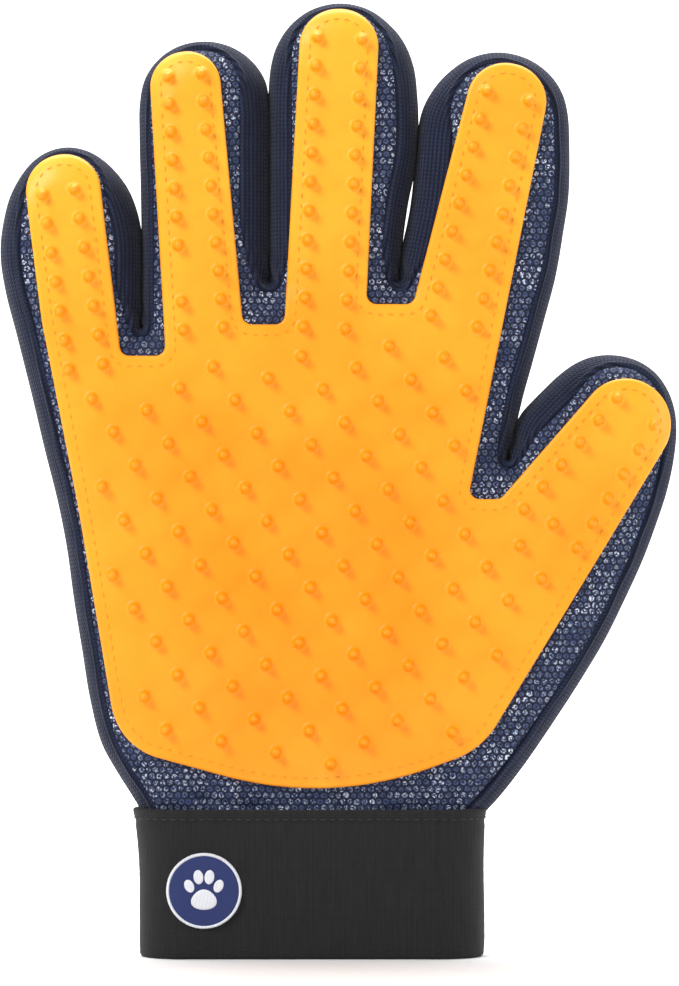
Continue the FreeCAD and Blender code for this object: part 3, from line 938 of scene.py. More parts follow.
@dataclass(frozen=True)
class AirMesh:
    """Navy spacer mesh: rings of yarn round small holes, with pale glints inside."""

    pitch: float = 1.8
    yarn: Colour = (0.005, 0.008, 0.026)
    ring: Colour = (0.038, 0.070, 0.195)
    hole: Colour = (0.004, 0.006, 0.02)
    glint: Colour = (0.78, 0.85, 1.0)
    ring_radius: float = 0.25    # in pitches
    wander: float = 1.1          # how far the cells stray, in mm
    glints_across: float = 6.0   # glints in a pitch

    def cells(self, n: NodeSheet, place: object) -> tuple[object, object]:
        """Six-sided cells, as two square lattices of which the nearer one counts.

        Args:
            n: the material's nodes.
            place: the coordinate, in pitches.

        Returns:
            The distance from the cell's centre, and a random value for the cell.
        """
        cell = (1.0, math.sqrt(3.0), 1.0)
        gaps, chances = [], []
        for shift in ((0.0, 0.0, 0.0), (0.5, math.sqrt(0.75), 0.0)):
            moved = n.vector("DIVIDE", n.vector("ADD", place, shift), cell)
            whole = n.vector("FLOOR", moved)
            local = n.vector("SUBTRACT", n.vector("FRACTION", moved), (0.5, 0.5, 0.0))
            flat = n.vector("MULTIPLY", local, (1.0, math.sqrt(3.0), 0.0))
            gaps.append(n.vector("LENGTH", flat))
            chances.append(n.speck(n.vector("ADD", whole, (shift[0] * 90, 5.0, 0.0))))
        first = n.math("LESS_THAN", *gaps)
        second = n.math("SUBTRACT", 1.0, first)
        chance = n.plus(n.times(chances[0], first), n.times(chances[1], second))
        return n.math("MINIMUM", *gaps), chance

    def material(self) -> bpy.types.Material:
        """Builds the mesh fabric.

        Returns:
            The material.
        """
        n = NodeSheet("air_mesh")
        flat = n.weave(FLAT)
        other = n.vector("ADD", flat, (31.0, 7.0, 0.0))
        wobble = n.combine(n.noise(flat, 0.35), n.noise(other, 0.35), 0.0)
        place = n.scaled(n.vector("ADD", flat, n.scaled(wobble, self.wander)), 1 / self.pitch)
        nearest, chance = self.cells(n, place)
        away = n.math("ABSOLUTE", n.math("SUBTRACT", nearest, self.ring_radius))
        ring = n.remap(away, 0.07, 0.19, 1.0, 0.0)
        hole = n.remap(nearest, 0.03, 0.14, 1.0, 0.0)
        patch = n.remap(n.noise(flat, 0.11, 2.0), 0.38, 0.66)
        across = (self.glints_across, self.glints_across, 1.0)
        spark = n.speck(n.vector("FLOOR", n.vector("MULTIPLY", place, across)))
        lit = n.times(n.remap(spark, 0.50, 0.85), n.remap(nearest, 0.30, 0.42, 1.0, 0.0))
        lit = n.times(lit, n.remap(chance, 0.15, 0.65, 0.12, 1.0))
        lit = n.times(lit, n.remap(patch, 0.0, 1.0, 0.22, 1.0))
        fibre = n.noise(n.weave((4.0, 4.0, 1.0)), 1.0, 2.0)
        worn = n.times(ring, n.remap(fibre, 0.35, 0.65, 0.15, 1.0))
        colour = n.blend(worn, self.yarn, self.ring)
        colour = n.blend(n.times(hole, 0.7), colour, self.hole)
        colour = n.blend(lit, colour, self.glint)
        height = n.math("SUBTRACT", n.plus(ring, n.times(fibre, 0.4)), hole)
        return n.finish(
            colour, n.spread(fibre, 0.5, 0.75), n.bump(height, 0.75, 0.32),
            Specular_IOR_Level=0.28, Sheen_Weight=0.03, Sheen_Roughness=0.5)


@dataclass(frozen=True)
class RibKnit:
    """Navy rib knit: rows of V stitches along each rib."""

    rib: float = RIB
    stitch: float = 1.0
    vee_slope: float = 1.5
    shade: Colour = (0.003, 0.004, 0.012)
    crest: Colour = (0.028, 0.041, 0.098)

    def material(self) -> bpy.types.Material:
        """Builds the knit.

        Returns:
            The material.
        """
        n = NodeSheet("rib_knit")
        across, along, _ = n.parts(n.weave())
        off = n.off_middle(n.repeat(across, self.rib))
        crest = n.remap(off, 0.08, 0.48, 1.0, 0.0)
        climb = n.plus(n.math("DIVIDE", along, self.stitch), n.times(off, self.vee_slope))
        loop = n.remap(n.off_middle(n.math("FRACT", climb)), 0.04, 0.36)
        fibre = n.noise(n.weave(FLAT), 5.5, 3.0)
        cloud = n.spread(n.noise(n.weave(FLAT), 0.16, 2.0), 0.0, 1.0)
        height = n.plus(n.times(loop, 0.55), n.times(fibre, 0.25))
        height = n.plus(n.times(crest, 0.8), height)
        share = n.times(crest, n.remap(loop, 0.0, 1.0, 0.35, 1.0))
        share = n.times(share, n.spread(fibre, 0.5, 1.0))
        share = n.times(share, n.remap(cloud, 0.0, 1.0, 0.7, 1.0))
        return n.finish(
            n.blend(share, self.shade, self.crest), n.spread(fibre, 0.75, 0.92),
            n.bump(height, 0.85, 0.26),
            Specular_IOR_Level=0.22, Sheen_Weight=0.10, Sheen_Roughness=0.4)


@dataclass(frozen=True)
class WovenElastic:
    """Charcoal woven elastic with fine cords across and rubber threads along."""

    cord_pitch: float = 0.62
    thread_pitch: float = 0.52
    shade: Colour = (0.003, 0.003, 0.0035)
    crest: Colour = (0.020, 0.020, 0.022)
    lint: Colour = (0.10, 0.10, 0.11)

    def material(self) -> bpy.types.Material:
        """Builds the elastic.

        Returns:
            The material.
        """
        n = NodeSheet("woven_elastic")
        round_way, up, _ = n.parts(n.weave())
        drift = n.times(n.noise(n.weave((0.3, 1.0, 0.0)), 0.5), 0.5)
        row = n.math("FRACT", n.plus(n.math("DIVIDE", up, self.cord_pitch), drift))
        cord = n.remap(n.off_middle(row), 0.05, 0.45, 1.0, 0.0)
        thread = n.remap(n.off_middle(n.repeat(round_way, self.thread_pitch)), 0.1, 0.5, 1.0, 0.0)
        fibre = n.noise(n.weave(FLAT), 4.5, 4.0)
        streak = n.noise(n.weave((1.4, 0.10, 0.0)), 1.0, 2.0)
        lint = n.remap(n.noise(n.weave(FLAT), 1.5, 5.0), 0.70, 0.78, 0.0, 0.30)
        height = n.plus(n.times(cord, 0.30), n.times(thread, 0.75))
        height = n.plus(height, n.times(fibre, 0.5))
        share = n.times(n.remap(height, 0.3, 1.3), n.spread(streak, 0.55, 1.0))
        colour = n.blend(lint, n.blend(share, self.shade, self.crest), self.lint)
        return n.finish(
            colour, n.spread(fibre, 0.68, 0.88), n.bump(height, 0.6, 0.14),
            Specular_IOR_Level=0.25, Sheen_Weight=0.05, Sheen_Roughness=0.5)


@dataclass(frozen=True)
class SewingThread:
    """Twisted thread of one colour."""

    name: str
    colour: Colour
    pale: Colour
    twist: float = 0.35

    def material(self) -> bpy.types.Material:
        """Builds the thread; its weave runs along, then around.

        Returns:
            The material.
        """
        n = NodeSheet(self.name)
        along, around, _ = n.parts(n.weave())
        turn = n.math("FRACT", n.plus(n.math("DIVIDE", along, self.twist), around))
        strand = n.remap(n.off_middle(turn), 0.1, 0.5, 1.0, 0.0)
        fibre = n.noise(n.weave((3.0, 3.0, 1.0)), 3.0, 2.0)
        share = n.times(strand, n.spread(fibre, 0.5, 1.0))
        return n.finish(
            n.blend(share, self.colour, self.pale), n.spread(fibre, 0.5, 0.7),
            n.bump(strand, 0.5, 0.06), Specular_IOR_Level=0.35)


@dataclass(frozen=True)
class Embroidery:
    """Satin-stitched thread lying side by side, in one colour."""

    name: str
    colour: Colour
    shade: Colour
    lean: float
    strand: float = 0.34

    def material(self) -> bpy.types.Material:
        """Builds the embroidered face.

        Returns:
            The material.
        """
        n = NodeSheet(self.name)
        x, z, _ = n.parts(n.weave())
        lie = n.math("FRACT", n.plus(n.math("DIVIDE", x, self.strand), n.times(z, self.lean)))
        strand = n.remap(n.off_middle(lie), 0.1, 0.5, 1.0, 0.0)
        fibre = n.noise(n.weave((2.0, 0.5, 0.0)), 4.0, 3.0)
        share = n.times(strand, n.spread(fibre, 0.6, 1.0))
        return n.finish(
            n.blend(share, self.shade, self.colour), n.spread(fibre, 0.42, 0.6),
            n.bump(n.plus(strand, fibre), 0.4, 0.08), Specular_IOR_Level=0.4)


@dataclass(frozen=True)
class BlackWebbing:
    """Black woven webbing with a herringbone face."""

    yarn_pitch: float = 1.1
    bone: float = 2.4
    shade: Colour = (0.006, 0.006, 0.007)
    crest: Colour = (0.040, 0.040, 0.044)

    def material(self) -> bpy.types.Material:
        """Builds the webbing.

        Returns:
            The material.
        """
        n = NodeSheet("black_webbing")
        along, across, _ = n.parts(n.weave())
        band = n.math("DIVIDE", n.math("PINGPONG", across, self.bone), self.yarn_pitch)
        lie = n.math("FRACT", n.plus(n.math("DIVIDE", along, self.yarn_pitch), band))
        yarn = n.remap(n.off_middle(lie), 0.08, 0.48, 1.0, 0.0)
        fibre = n.noise(n.weave(), 4.0, 3.0)
        share = n.times(yarn, n.spread(fibre, 0.5, 1.0))
        height = n.plus(yarn, n.times(fibre, 0.3))
        return n.finish(
            n.blend(share, self.shade, self.crest), n.spread(fibre, 0.55, 0.75),
            n.bump(height, 0.7, 0.2), Specular_IOR_Level=0.35, Sheen_Weight=0.08)


@dataclass(frozen=True)
class TouchTape:
    """Fastening tape: soft loops, or stiffer hooks, as a pile of round tufts."""

    name: str
    pitch: float
    crest: Colour
    rough: float
    ground: Colour = (0.004, 0.004, 0.005)

    def material(self) -> bpy.types.Material:
        """Builds the tape's pile.

        Returns:
            The material.
        """
        n = NodeSheet(self.name)
        pile = n.nodes.new("ShaderNodeTexVoronoi")
        n.put(pile.inputs["Vector"], n.weave())
        pile.inputs["Scale"].default_value = 1 / self.pitch
        tuft = n.remap(pile.outputs["Distance"], 0.1, 0.7, 1.0, 0.0)
        fibre = n.noise(n.weave(), 3.5, 4.0)
        share = n.times(tuft, n.spread(fibre, 0.4, 1.0))
        height = n.plus(tuft, n.times(fibre, 0.6))
        return n.finish(
            n.blend(share, self.ground, self.crest), self.rough,
            n.bump(height, 0.8, 0.3), Specular_IOR_Level=0.3, Sheen_Weight=0.15)


class Finishes:
    """Every finish of the glove, each material made once."""

    def __init__(self) -> None:
        """Makes the materials."""
        self.rubber = SiliconeRubber().material()
        self.mesh = AirMesh().material()
        self.knit = RibKnit().material()
        self.elastic = WovenElastic().material()
        self.pad_thread = SewingThread(
            "pad_thread", (0.78, 0.25, 0.006), (0.95, 0.36, 0.02)).material()
        self.dark_thread = SewingThread(
            "dark_thread", (0.004, 0.004, 0.006), (0.035, 0.036, 0.045)).material()
        self.navy_twill = Embroidery(
            "navy_twill", (0.016, 0.034, 0.165), (0.006, 0.012, 0.070), 0.9).material()
        self.white_thread = Embroidery(
            "white_thread", (0.86, 0.87, 0.90), (0.52, 0.54, 0.60), 0.2).material()
        self.webbing = BlackWebbing().material()
        self.loops = TouchTape("loop_tape", 0.55, (0.055, 0.055, 0.060), 0.9).material()
        self.hooks = TouchTape("hook_tape", 1.1, (0.075, 0.075, 0.080), 0.45).material()


# ------------------------------------------------------------------ placing pieces

def place(piece: bpy.types.Object, limb: Limb, node: str | None, slot: str,
          *materials: bpy.types.Material) -> bpy.types.Object:
    """Dresses a piece and gives it its body; a finger's piece only has its place baked in.

    Args:
        piece: the object.
        limb: the body it moves with; a finger's piece gets no body and is baked in place.
        node: the CAD node that it stands for, if any.
        slot: the record's material slot; not used.
        *materials: its materials, in the order of its faces' numbers.

    Returns:
        The piece.
    """
    for material in materials:
        piece.data.materials.append(material)
    if limb in FINGERS:
        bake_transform(piece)
    else:
        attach(piece, limb.value)
    if node:
        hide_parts(node)
    LOG.info("%s: %d faces, on %s", piece.name, len(piece.data.polygons), limb.value)
    return piece


def place_by_limb(surface: Surface, owner: Points, word: str, node: str, slot: str,
                  material: bpy.types.Material) -> list[tuple[Limb, bpy.types.Object]]:
    """Splits a surface into one piece for each limb that owns faces of it.

    Args:
        surface: the surface, which runs over several limbs.
        owner: each face's limb, as a position in Limb's order.
        word: the last part of the pieces' names.
        node: the last part of the names of the CAD nodes that they stand for.
        slot: the record's material slot.
        material: their material.

    Returns:
        Each limb with its piece.
    """
    made = []
    for number, limb in enumerate(Limb):
        if (owner == number).any():
            piece = surface.piece(f"{limb.word.title()}{word}", owner == number)
            made.append((limb, place(piece, limb, f"{limb.word}_{node}", slot, material)))
    return made


def mesh_area(piece: bpy.types.Object) -> float:
    """A piece's area in square metres.

    Args:
        piece: the object.

    Returns:
        The area.
    """
    areas = np.zeros(len(piece.data.polygons), np.float32)
    piece.data.polygons.foreach_get("area", areas)
    return float(areas.sum())


# ------------------------------------------------------------------ cloth

@dataclass
class ClothHand:
    """The mesh panels and the knit strips of the palm and of all five fingers."""

    form: GloveForm
    finishes: Finishes
    pad_loop: Points
    columns: int = 34
    rib: float = RIB
    rib_height: float = 0.17
    welt: float = 0.30
    groove: float = 0.45
    pucker: float = 0.30
    pucker_reach: float = 7.0    # the knit gathers this near to the foot of a slit
    edge_swell: float = 0.32
    back_extra: float = 3.2      # the knit is wider on the back than on the palm side
    back_most: float = 7.5
    spacing: float = 1.35
    flat_share: float = 1.02     # a panel is cut this much larger than it lies

    def ribbing(self, reach: Points, seam: Points, along: Points, near_foot: Points) -> Points:
        """How far the knit's ribs, seam welt and gathers stand out of its true form.

        Args:
            reach: the cloth's length from the glove's edge, one row a point of the outline.
            seam: the cloth's length to the seam with the mesh.
            along: the way along the outline, as a column.
            near_foot: from 0 to 1 at the foot of a slit, as a column.

        Returns:
            The heights.
        """
        ribs = self.rib_height * np.abs(np.cos(math.pi * reach / self.rib)) ** 0.7
        ribs = ribs * np.clip(seam / 0.8, 0, 1)
        ripple = 0.12 * np.sin(along / 2.6 + 1.5 * np.sin(along / 13.0))
        lift = ribs + self.welt * np.exp(-((seam - 1.0) / 0.5) ** 2)
        lift = lift - self.groove * np.exp(-(seam / 0.45) ** 2)
        lift = lift + ripple * np.exp(-((seam - 1.2) / 1.2) ** 2)
        lift = lift + self.edge_swell * np.exp(-(reach / 2.4) ** 2)
        gathers = self.pucker * np.sin(along / 1.15 + reach / 1.4) * np.clip(seam / 1.5, 0, 1)
        return lift + near_foot * gathers

    def knit_strip(self) -> tuple[Surface, Points, Points]:
        """The knit from the palm-side seam, round the outline, to the back seam.

        Returns:
            The surface, and the two rows of seam points.
        """
        line = self.form.outline
        normal = inward(line, False)[:, None]
        along = lengths(line)[:, None]
        foot_gap = np.linalg.norm(line[:, None, :2] - SLIT_FEET[None], axis=2).min(1)
        near_foot = np.exp(-(foot_gap / self.pucker_reach) ** 2)[:, None]
        blocks, weaves = [], []
        for side, share in ((Side.PALM, np.linspace(1, 0, self.columns)),
                            (Side.BACK, np.linspace(0, 1, self.columns)[1:])):
            gap, rise, arc = self.form.roll(side).table()
            width = line[:, 2]
            if side is Side.BACK:
                width = np.minimum(width + self.back_extra, self.back_most)
            whole = np.interp(width, gap, arc)[:, None]
            reach = whole * share[None]
            seam = whole - reach
            from_edge = np.interp(reach, arc, gap)
            height = np.interp(reach, arc, rise)
            ahead, behind = reach + NUDGE, reach - NUDGE
            run = np.stack([np.interp(ahead, arc, gap) - np.interp(behind, arc, gap),
                            np.interp(ahead, arc, rise) - np.interp(behind, arc, rise)])
            run[:, reach < 0.06] = np.array([[0.0], [1.0]])
            run /= np.linalg.norm(run, axis=0)
            lift = self.ribbing(reach, seam, along, near_foot)
            if side is Side.PALM:
                under = line[:, None, :2] + normal * from_edge[:, :, None]
                off = -signed_gap(under.reshape(-1, 2), self.pad_loop).reshape(reach.shape)
                lift = lift * np.clip((off + 0.3) / 1.2, 0, 1)
            spots = line[:, None, :2] + normal * (from_edge - lift * run[1])[:, :, None]
            x, z = spots[:, :, 0], spots[:, :, 1]
            depth = height * self.form.tuck(line[:, 1])[:, None] + lift * run[0]
            depth = depth + self.form.wave(x, z, side) * height / self.form.roll(side).height
            blocks.append(np.stack([x, side.value * depth, z], axis=2))
            weaves.append(np.stack(
                [reach * side.value, np.broadcast_to(along, x.shape), seam], axis=2))
        grid = np.concatenate(blocks, axis=1)
        weave = np.concatenate(weaves, axis=1)
        surface = Surface(
            grid.reshape(-1, 3), grid_faces(*grid.shape[:2]), weave.reshape(-1, 3))
        return surface, grid[:, 0], grid[:, -1]

    def heel_folds(self, flat: Points) -> Points:
        """How the mesh folds along the pad's heel and down to the cuff.

        Args:
            flat: the panel's flat points.

        Returns:
            How far each point stands out of the face.
        """
        off = -signed_gap(flat, self.pad_loop)
        low = np.clip((70.0 - flat[:, 1]) / 12.0, 0, 1)
        lift = -low * 0.75 * np.exp(-((off - 3.6) / 0.9) ** 2)
        lift = lift + low * 0.45 * np.exp(-((off - 5.4) / 1.1) ** 2)
        off = gap_to(flat, np.array(HEEL_FOLD), False)
        return lift - 1.1 * np.exp(-(off / 1.0) ** 2) + 0.5 * np.exp(-((off - 2.4) / 1.2) ** 2)

    def panel(self, seam: Points, side: Side) -> Surface:
        """The mesh panel inside a row of seam points.

        Args:
            seam: the knit's last row of points on that side.
            side: the palm's side or the back.

        Returns:
            The panel.
        """
        loop = seam[:, [0, 2]]
        keep = np.concatenate([[True], np.linalg.norm(np.diff(loop, axis=0), axis=1) > 0.02])
        seam, loop = seam[keep], loop[keep]
        spots = lattice(loop, self.spacing, 1.2)
        near = respaced(loop, 0.7)
        rings = [near + inward(near, True) * gap for gap in (0.35, 0.8)]
        spots = np.vstack([spots] + rings)
        spots = spots[inside(spots, loop)]
        spots = spots[gap_to(spots, loop, True) > 0.25]
        flat, faces = fill(loop, spots)
        lift = -self.groove * np.exp(-(gap_to(flat, loop, True) / 0.5) ** 2)
        if side is Side.PALM:
            lift = lift + self.heel_folds(flat)
        points = self.form.face(flat, side, lift)
        points[:len(seam)] = seam
        weave = np.column_stack([flat[:, 0], flat[:, 1], points[:, 1]])
        ordered = faces if side is Side.PALM else faces[:, ::-1]
        return Surface(points, [tuple(face) for face in ordered], weave)

    def split_knit(self, knit: Surface) -> None:
        """Makes the knit's pieces: one for each finger and four on the hand.

        Args:
            knit: the whole strip.
        """
        line = self.form.outline[:, :2]
        columns = 2 * self.columns - 1
        row = np.array([face[0] // columns for face in knit.faces])
        edge = line[row] + (line[np.minimum(row + 1, len(line) - 1)] - line[row]) / 2
        x, z = edge[:, 0], edge[:, 1]
        run = self.form.run_of[row]
        order = list(Limb)
        hinge = np.where(run == order.index(Limb.LITTLE), LITTLE_HINGE_Z, KNUCKLE_Z)
        past_thumb = (edge - THUMB_HINGE) @ THUMB_NORMAL > 0
        owner = np.where(np.where(run == order.index(Limb.THUMB), past_thumb, z > hinge), run, 0)
        hand = owner == order.index(Limb.HAND)
        web = (abs(x + 10) < 34) & (z > 150)
        thumb_side = hand & (x > 40)
        groups = [
            ("LittleSideKnit", Limb.HAND, "little_side_gusset", hand & (x < -30) & ~web),
            ("FingerWebKnit", Limb.HAND, "finger_web_gusset", hand & web),
            ("ThumbWebKnit", Limb.HAND, "thumb_web_gusset", thumb_side & (z > 114.0)),
            ("ThumbSideKnit", Limb.HAND, "thumb_side_gusset", thumb_side & (z <= 114.0)),
        ]
        groups += [
            (f"{limb.value.title()}Knit", limb, f"{limb.value}_gusset", owner == order.index(limb))
            for limb in FINGERS
        ]
        steps = np.diff(lengths(line))
        for name, limb, node, chosen in groups:
            piece = knit.piece(name, chosen)
            place(piece, limb, node, "knit_fabric", self.finishes.knit)
            length = float(steps[np.unique(row[chosen])].sum()) * MM
            self.declare(piece, limb, (mesh_area(piece) / length, length))

    def declare(self, piece: bpy.types.Object, limb: Limb, flat: tuple[float, float]) -> None:
        """Works out a piece of cloth's area, the smaller of its mesh's and its cut size's; nothing
        is done with it.

        Args:
            piece: the cloth.
            limb: its body; not used.
            flat: the width and length that it was cut from, in metres.
        """
        area = min(mesh_area(piece), flat[0] * flat[1])

    def build(self) -> None:
        """Makes every cloth piece, dressed and placed."""
        knit, palm_seam, back_seam = self.knit_strip()
        self.split_knit(knit)
        for side, seam, word, node in (
                (Side.PALM, palm_seam, "MeshFront", "front_panel"),
                (Side.BACK, back_seam, "MeshBack", "back_panel")):
            surface = self.panel(seam, side)
            owner = limb_at(surface.centres()[:, [0, 2]])
            for limb, piece in place_by_limb(
                    surface, owner, word, node, "mesh_fabric", self.finishes.mesh):
                size = piece.dimensions
                self.declare(piece, limb, (size.x * self.flat_share, size.z * self.flat_share))


# ------------------------------------------------------------------ rubber pad

@dataclass(frozen=True)
class FingerPad:
    """Outline of the pad on one finger: two circles, in mm."""

    root: tuple[float, float]
    root_r: float
    tip: tuple[float, float]
    tip_r: float

    def side(self, which: int) -> Points:
        """Outward normal of its left (-1) or right (1) edge.

        Args:
            which: -1 or 1.

        Returns:
            The normal.
        """
        run = np.array(self.tip) - self.root
        length = np.linalg.norm(run)
        up = run / length
        rise = (self.root_r - self.tip_r) / length
        across = np.array([up[1], -up[0]])
        return up * rise + across * (which * math.sqrt(1 - rise * rise))

    def edge_at(self, which: int, z: float) -> tuple[float, float]:
        """The point of an edge at a height.

        Args:
            which: -1 for the left edge, 1 for the right.
            z: the height.

        Returns:
            The x and z of the point.
        """
        a = np.array(self.root) + self.side(which) * self.root_r
        b = np.array(self.tip) + self.side(which) * self.tip_r
        share = (z - a[1]) / (b[1] - a[1])
        return float(a[0] + (b[0] - a[0]) * share), z

    def corners(self) -> list[tuple[float, float, float]]:
        """The two corners that round into the tip's half circle.

        Returns:
            The x, z and radius of each.
        """
        up = np.array(self.tip) - self.root
        up = up / np.linalg.norm(up)
        found = []
        for which in (-1, 1):
            system = np.array([self.side(which), up])
            spot = np.array(self.tip) + np.linalg.solve(system, [self.tip_r, self.tip_r])
            found.append((float(spot[0]), float(spot[1]), self.tip_r * 0.98))
        return found


@dataclass
class RubberPad:
    """The moulded pad with its nubs and the stitching that holds it to the mesh."""

    form: GloveForm
    finishes: Finishes
    thick: float = 1.2
    sink: float = 0.45
    lip: float = 0.10
    step: float = 0.9
    spacing: float = 1.9
    fingers: tuple[FingerPad, ...] = (
        FingerPad((-57.08, 156.5), 9.15, (-61.0, 188.5), 9.2),
        FingerPad((-27.4, 166.5), 9.5, (-31.0, 214.3), 8.7),
        FingerPad((3.8, 166.5), 9.9, (6.7, 223.8), 9.7),
        FingerPad((37.4, 166.5), 10.6, (47.8, 210.4), 9.7),
        FingerPad((60.9, 108.7), 13.9, (77.2, 131.1), 11.3),
    )
    notch_z: tuple[float, ...] = (148.0, 155.7, 160.7)
    notch_r: float = 2.4
    nub_form: tuple[tuple[float, float], ...] = (
        (0.0, 2.80), (0.34, 2.74), (0.64, 2.57), (0.88, 2.30), (1.04, 1.95), (1.14, 1.52),
        (1.22, 1.08), (1.33, 0.68), (1.50, 0.36), (1.76, 0.14), (2.12, 0.03), (2.6, 0.0),
    )
    nub_sides: int = 16
    stitch_inset: float = 2.6
    stitch_pitch: float = 2.62
    crown_depth: float = 0.3     # a nub's crown is this deep
    nub_apart: float = 2.5       # crown points nearer than this are one nub's
    nub_clear: float = 3.3       # the plain lattice keeps this far from a nub

    def outline(self) -> Points:
        """The pad's outline, clockwise from the heel's left.

        Returns:
            The points of the outline.
        """
        little, ring, middle, index, thumb = self.fingers
        corners = [(4.1, 37.7, 83.0), (-47.5, 52.0, 16.0), (-57.7, 112.6, 200.0)]
        corners.append((*little.edge_at(-1, LITTLE_HINGE_Z), 60.0))
        corners += little.corners()
        for left, right, z in zip(self.fingers, self.fingers[1:4], self.notch_z):
            corners.append((*left.edge_at(1, z), self.notch_r))
            corners.append((*right.edge_at(-1, z), self.notch_r))
            corners += right.corners()
        corners += [(38.4, 112.8, self.notch_r), (46.4, 112.8, self.notch_r)]
        corners += thumb.corners()
        corners += [(41.7, 51.3, 20.0)]
        return rounded_loop(corners, self.step)

    def nub_spots(self) -> Points:
        """Where the nubs stand, from the tops of the CAD pads' nubs.

        Returns:
            The nubs' centres.
        """
        found: list[list[Points]] = []
        for limb in (Limb.HAND, *FINGERS):
            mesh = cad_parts[f"{limb.word}_pad"].data
            co = np.zeros(len(mesh.vertices) * 3, np.float32)
            mesh.vertices.foreach_get("co", co)
            co = co.reshape(-1, 3) / MM
            for spot in co[co[:, 1] < co[:, 1].min() + self.crown_depth][:, [0, 2]]:
                near = [nub for nub in found if np.hypot(*(nub[0] - spot)) < self.nub_apart]
                if near:
                    near[0].append(spot)
                else:
                    found.append([spot])
        return np.array([(np.min(nub, axis=0) + np.max(nub, axis=0)) / 2 for nub in found])

    def nub_gap(self, spots: Points, nubs: Points) -> Points:
        """Distance from each point to the nearest nub's centre.

        Args:
            spots: the flat points.
            nubs: the nubs' centres.

        Returns:
            The distances.
        """
        nearest = np.full(len(spots), FAR)
        for nub in nubs:
            nearest = np.minimum(nearest, np.hypot(*(spots - nub).T))
        return nearest

    def rim(self, loop: Points) -> tuple[Points, Points]:
        """The pad's edge: up from the cloth, round its bevel and over its moulded lip.

        Args:
            loop: the pad's outline.

        Returns:
            The points, one row of them a point of the outline, and the loop where the face starts.
        """
        t, lip = self.thick, self.lip
        profile = [
            (0.0, -self.sink), (0.0, 0.45 * t), (0.07, 0.70 * t), (0.20, 0.90 * t),
            (0.42, 1.0 * t + lip * 0.8), (0.75, t + lip), (1.2, t + lip * 0.3), (1.7, t),
        ]
        normal = inward(loop, True)
        rows = [self.form.face(loop + normal * gap, Side.PALM, rise) for gap, rise in profile]
        return np.stack(rows, axis=1), loop + normal * profile[-1][0]

    def surface(self, loop: Points, nubs: Points) -> Surface:
        """The pad's face, its bevelled edge and its underside as one closed skin.

        Args:
            loop: the pad's outline.
            nubs: the nubs' centres.

        Returns:
            The skin.
        """
        grid, inner = self.rim(loop)
        count, columns = grid.shape[:2]
        faces = grid_faces(count, columns, closed=True, flip=True)
        border = np.arange(count) * columns
        rings = [
            nub + radius * np.array([math.cos(a), math.sin(a)])
            for nub in nubs for radius, _ in self.nub_form[1:]
            for a in np.linspace(0, 2 * math.pi, self.nub_sides, endpoint=False) + radius
        ]
        rings = np.vstack([nubs, np.array(rings)])
        rings = rings[signed_gap(rings, inner) > 0.3]
        spots = lattice(inner, self.spacing, 0.9)
        spots = spots[self.nub_gap(spots, nubs) > self.nub_clear]
        flat, triangles = fill(inner, np.vstack([spots, rings]))
        rise = np.interp(self.nub_gap(flat, nubs), *np.array(self.nub_form).T)
        top = self.form.face(flat, Side.PALM, self.thick + rise)
        points = grid.reshape(-1, 3)
        first = len(points)
        points = capped(points, faces, border + columns - 1, top, triangles, False)
        last = len(points)
        flat, triangles = fill(loop, lattice(loop, 3.4, 1.6))
        under = self.form.face(flat, Side.PALM, -self.sink)
        points = capped(points, faces, border, under, triangles, True)
        weave = points[:, [0, 2, 1]].copy()
        weave[:, 2] = 0.0
        # the nubs' rise, which the rubber uses to paint shade on the nubs
        weave[first:last, 2] = rise[count:]
        return Surface(points, faces, weave)

    def stitches(self, loop: Points, nubs: Points) -> Surface:
        """Short stitches in a line inside the pad's edge.

        Args:
            loop: the pad's outline.
            nubs: the nubs' centres.

        Returns:
            The stitches.
        """
        path = loop + inward(loop, True) * self.stitch_inset
        path = np.vstack([path, path[:1]])
        total = lengths(path)[-1]
        pitch = total / round(total / self.stitch_pitch)
        dashes = DashLine(pitch=pitch, length=1.45, radius=0.21)

        def lay(spots: Points, lift: Points) -> Points:
            """Puts flat points on the pad's face.

            Args:
                spots: the flat points.
                lift: how far above the face each is.

            Returns:
                The points in space.
            """
            return self.form.face(spots, Side.PALM, self.thick + lift)

        def free(spot: Points) -> bool:
            """Whether a stitch there is clear of the nubs.

            Args:
                spot: the flat point.

            Returns:
                True where it is clear.
            """
            return bool(np.hypot(*(nubs - spot).T).min() > 1.85)

        return dashes.surface(path, lay, free)

    def build(self) -> None:
        """Makes the pad's and the stitching's pieces."""
        loop = self.outline()
        nubs = self.nub_spots()
        LOG.info("rubber pad: %d nubs", len(nubs))
        for surface, word, node, slot, material in (
                (self.surface(loop, nubs), "Pad", "pad", "rubber_pad", self.finishes.rubber),
                (self.stitches(loop, nubs), "PadStitches", "pad_stitching", "pad_thread",
                 self.finishes.pad_thread)):
            owner = limb_at(surface.centres()[:, [0, 2]])
            if word == "PadStitches":
                owner = DashLine.whole(owner)
            place_by_limb(surface, owner, word, node, slot, material)


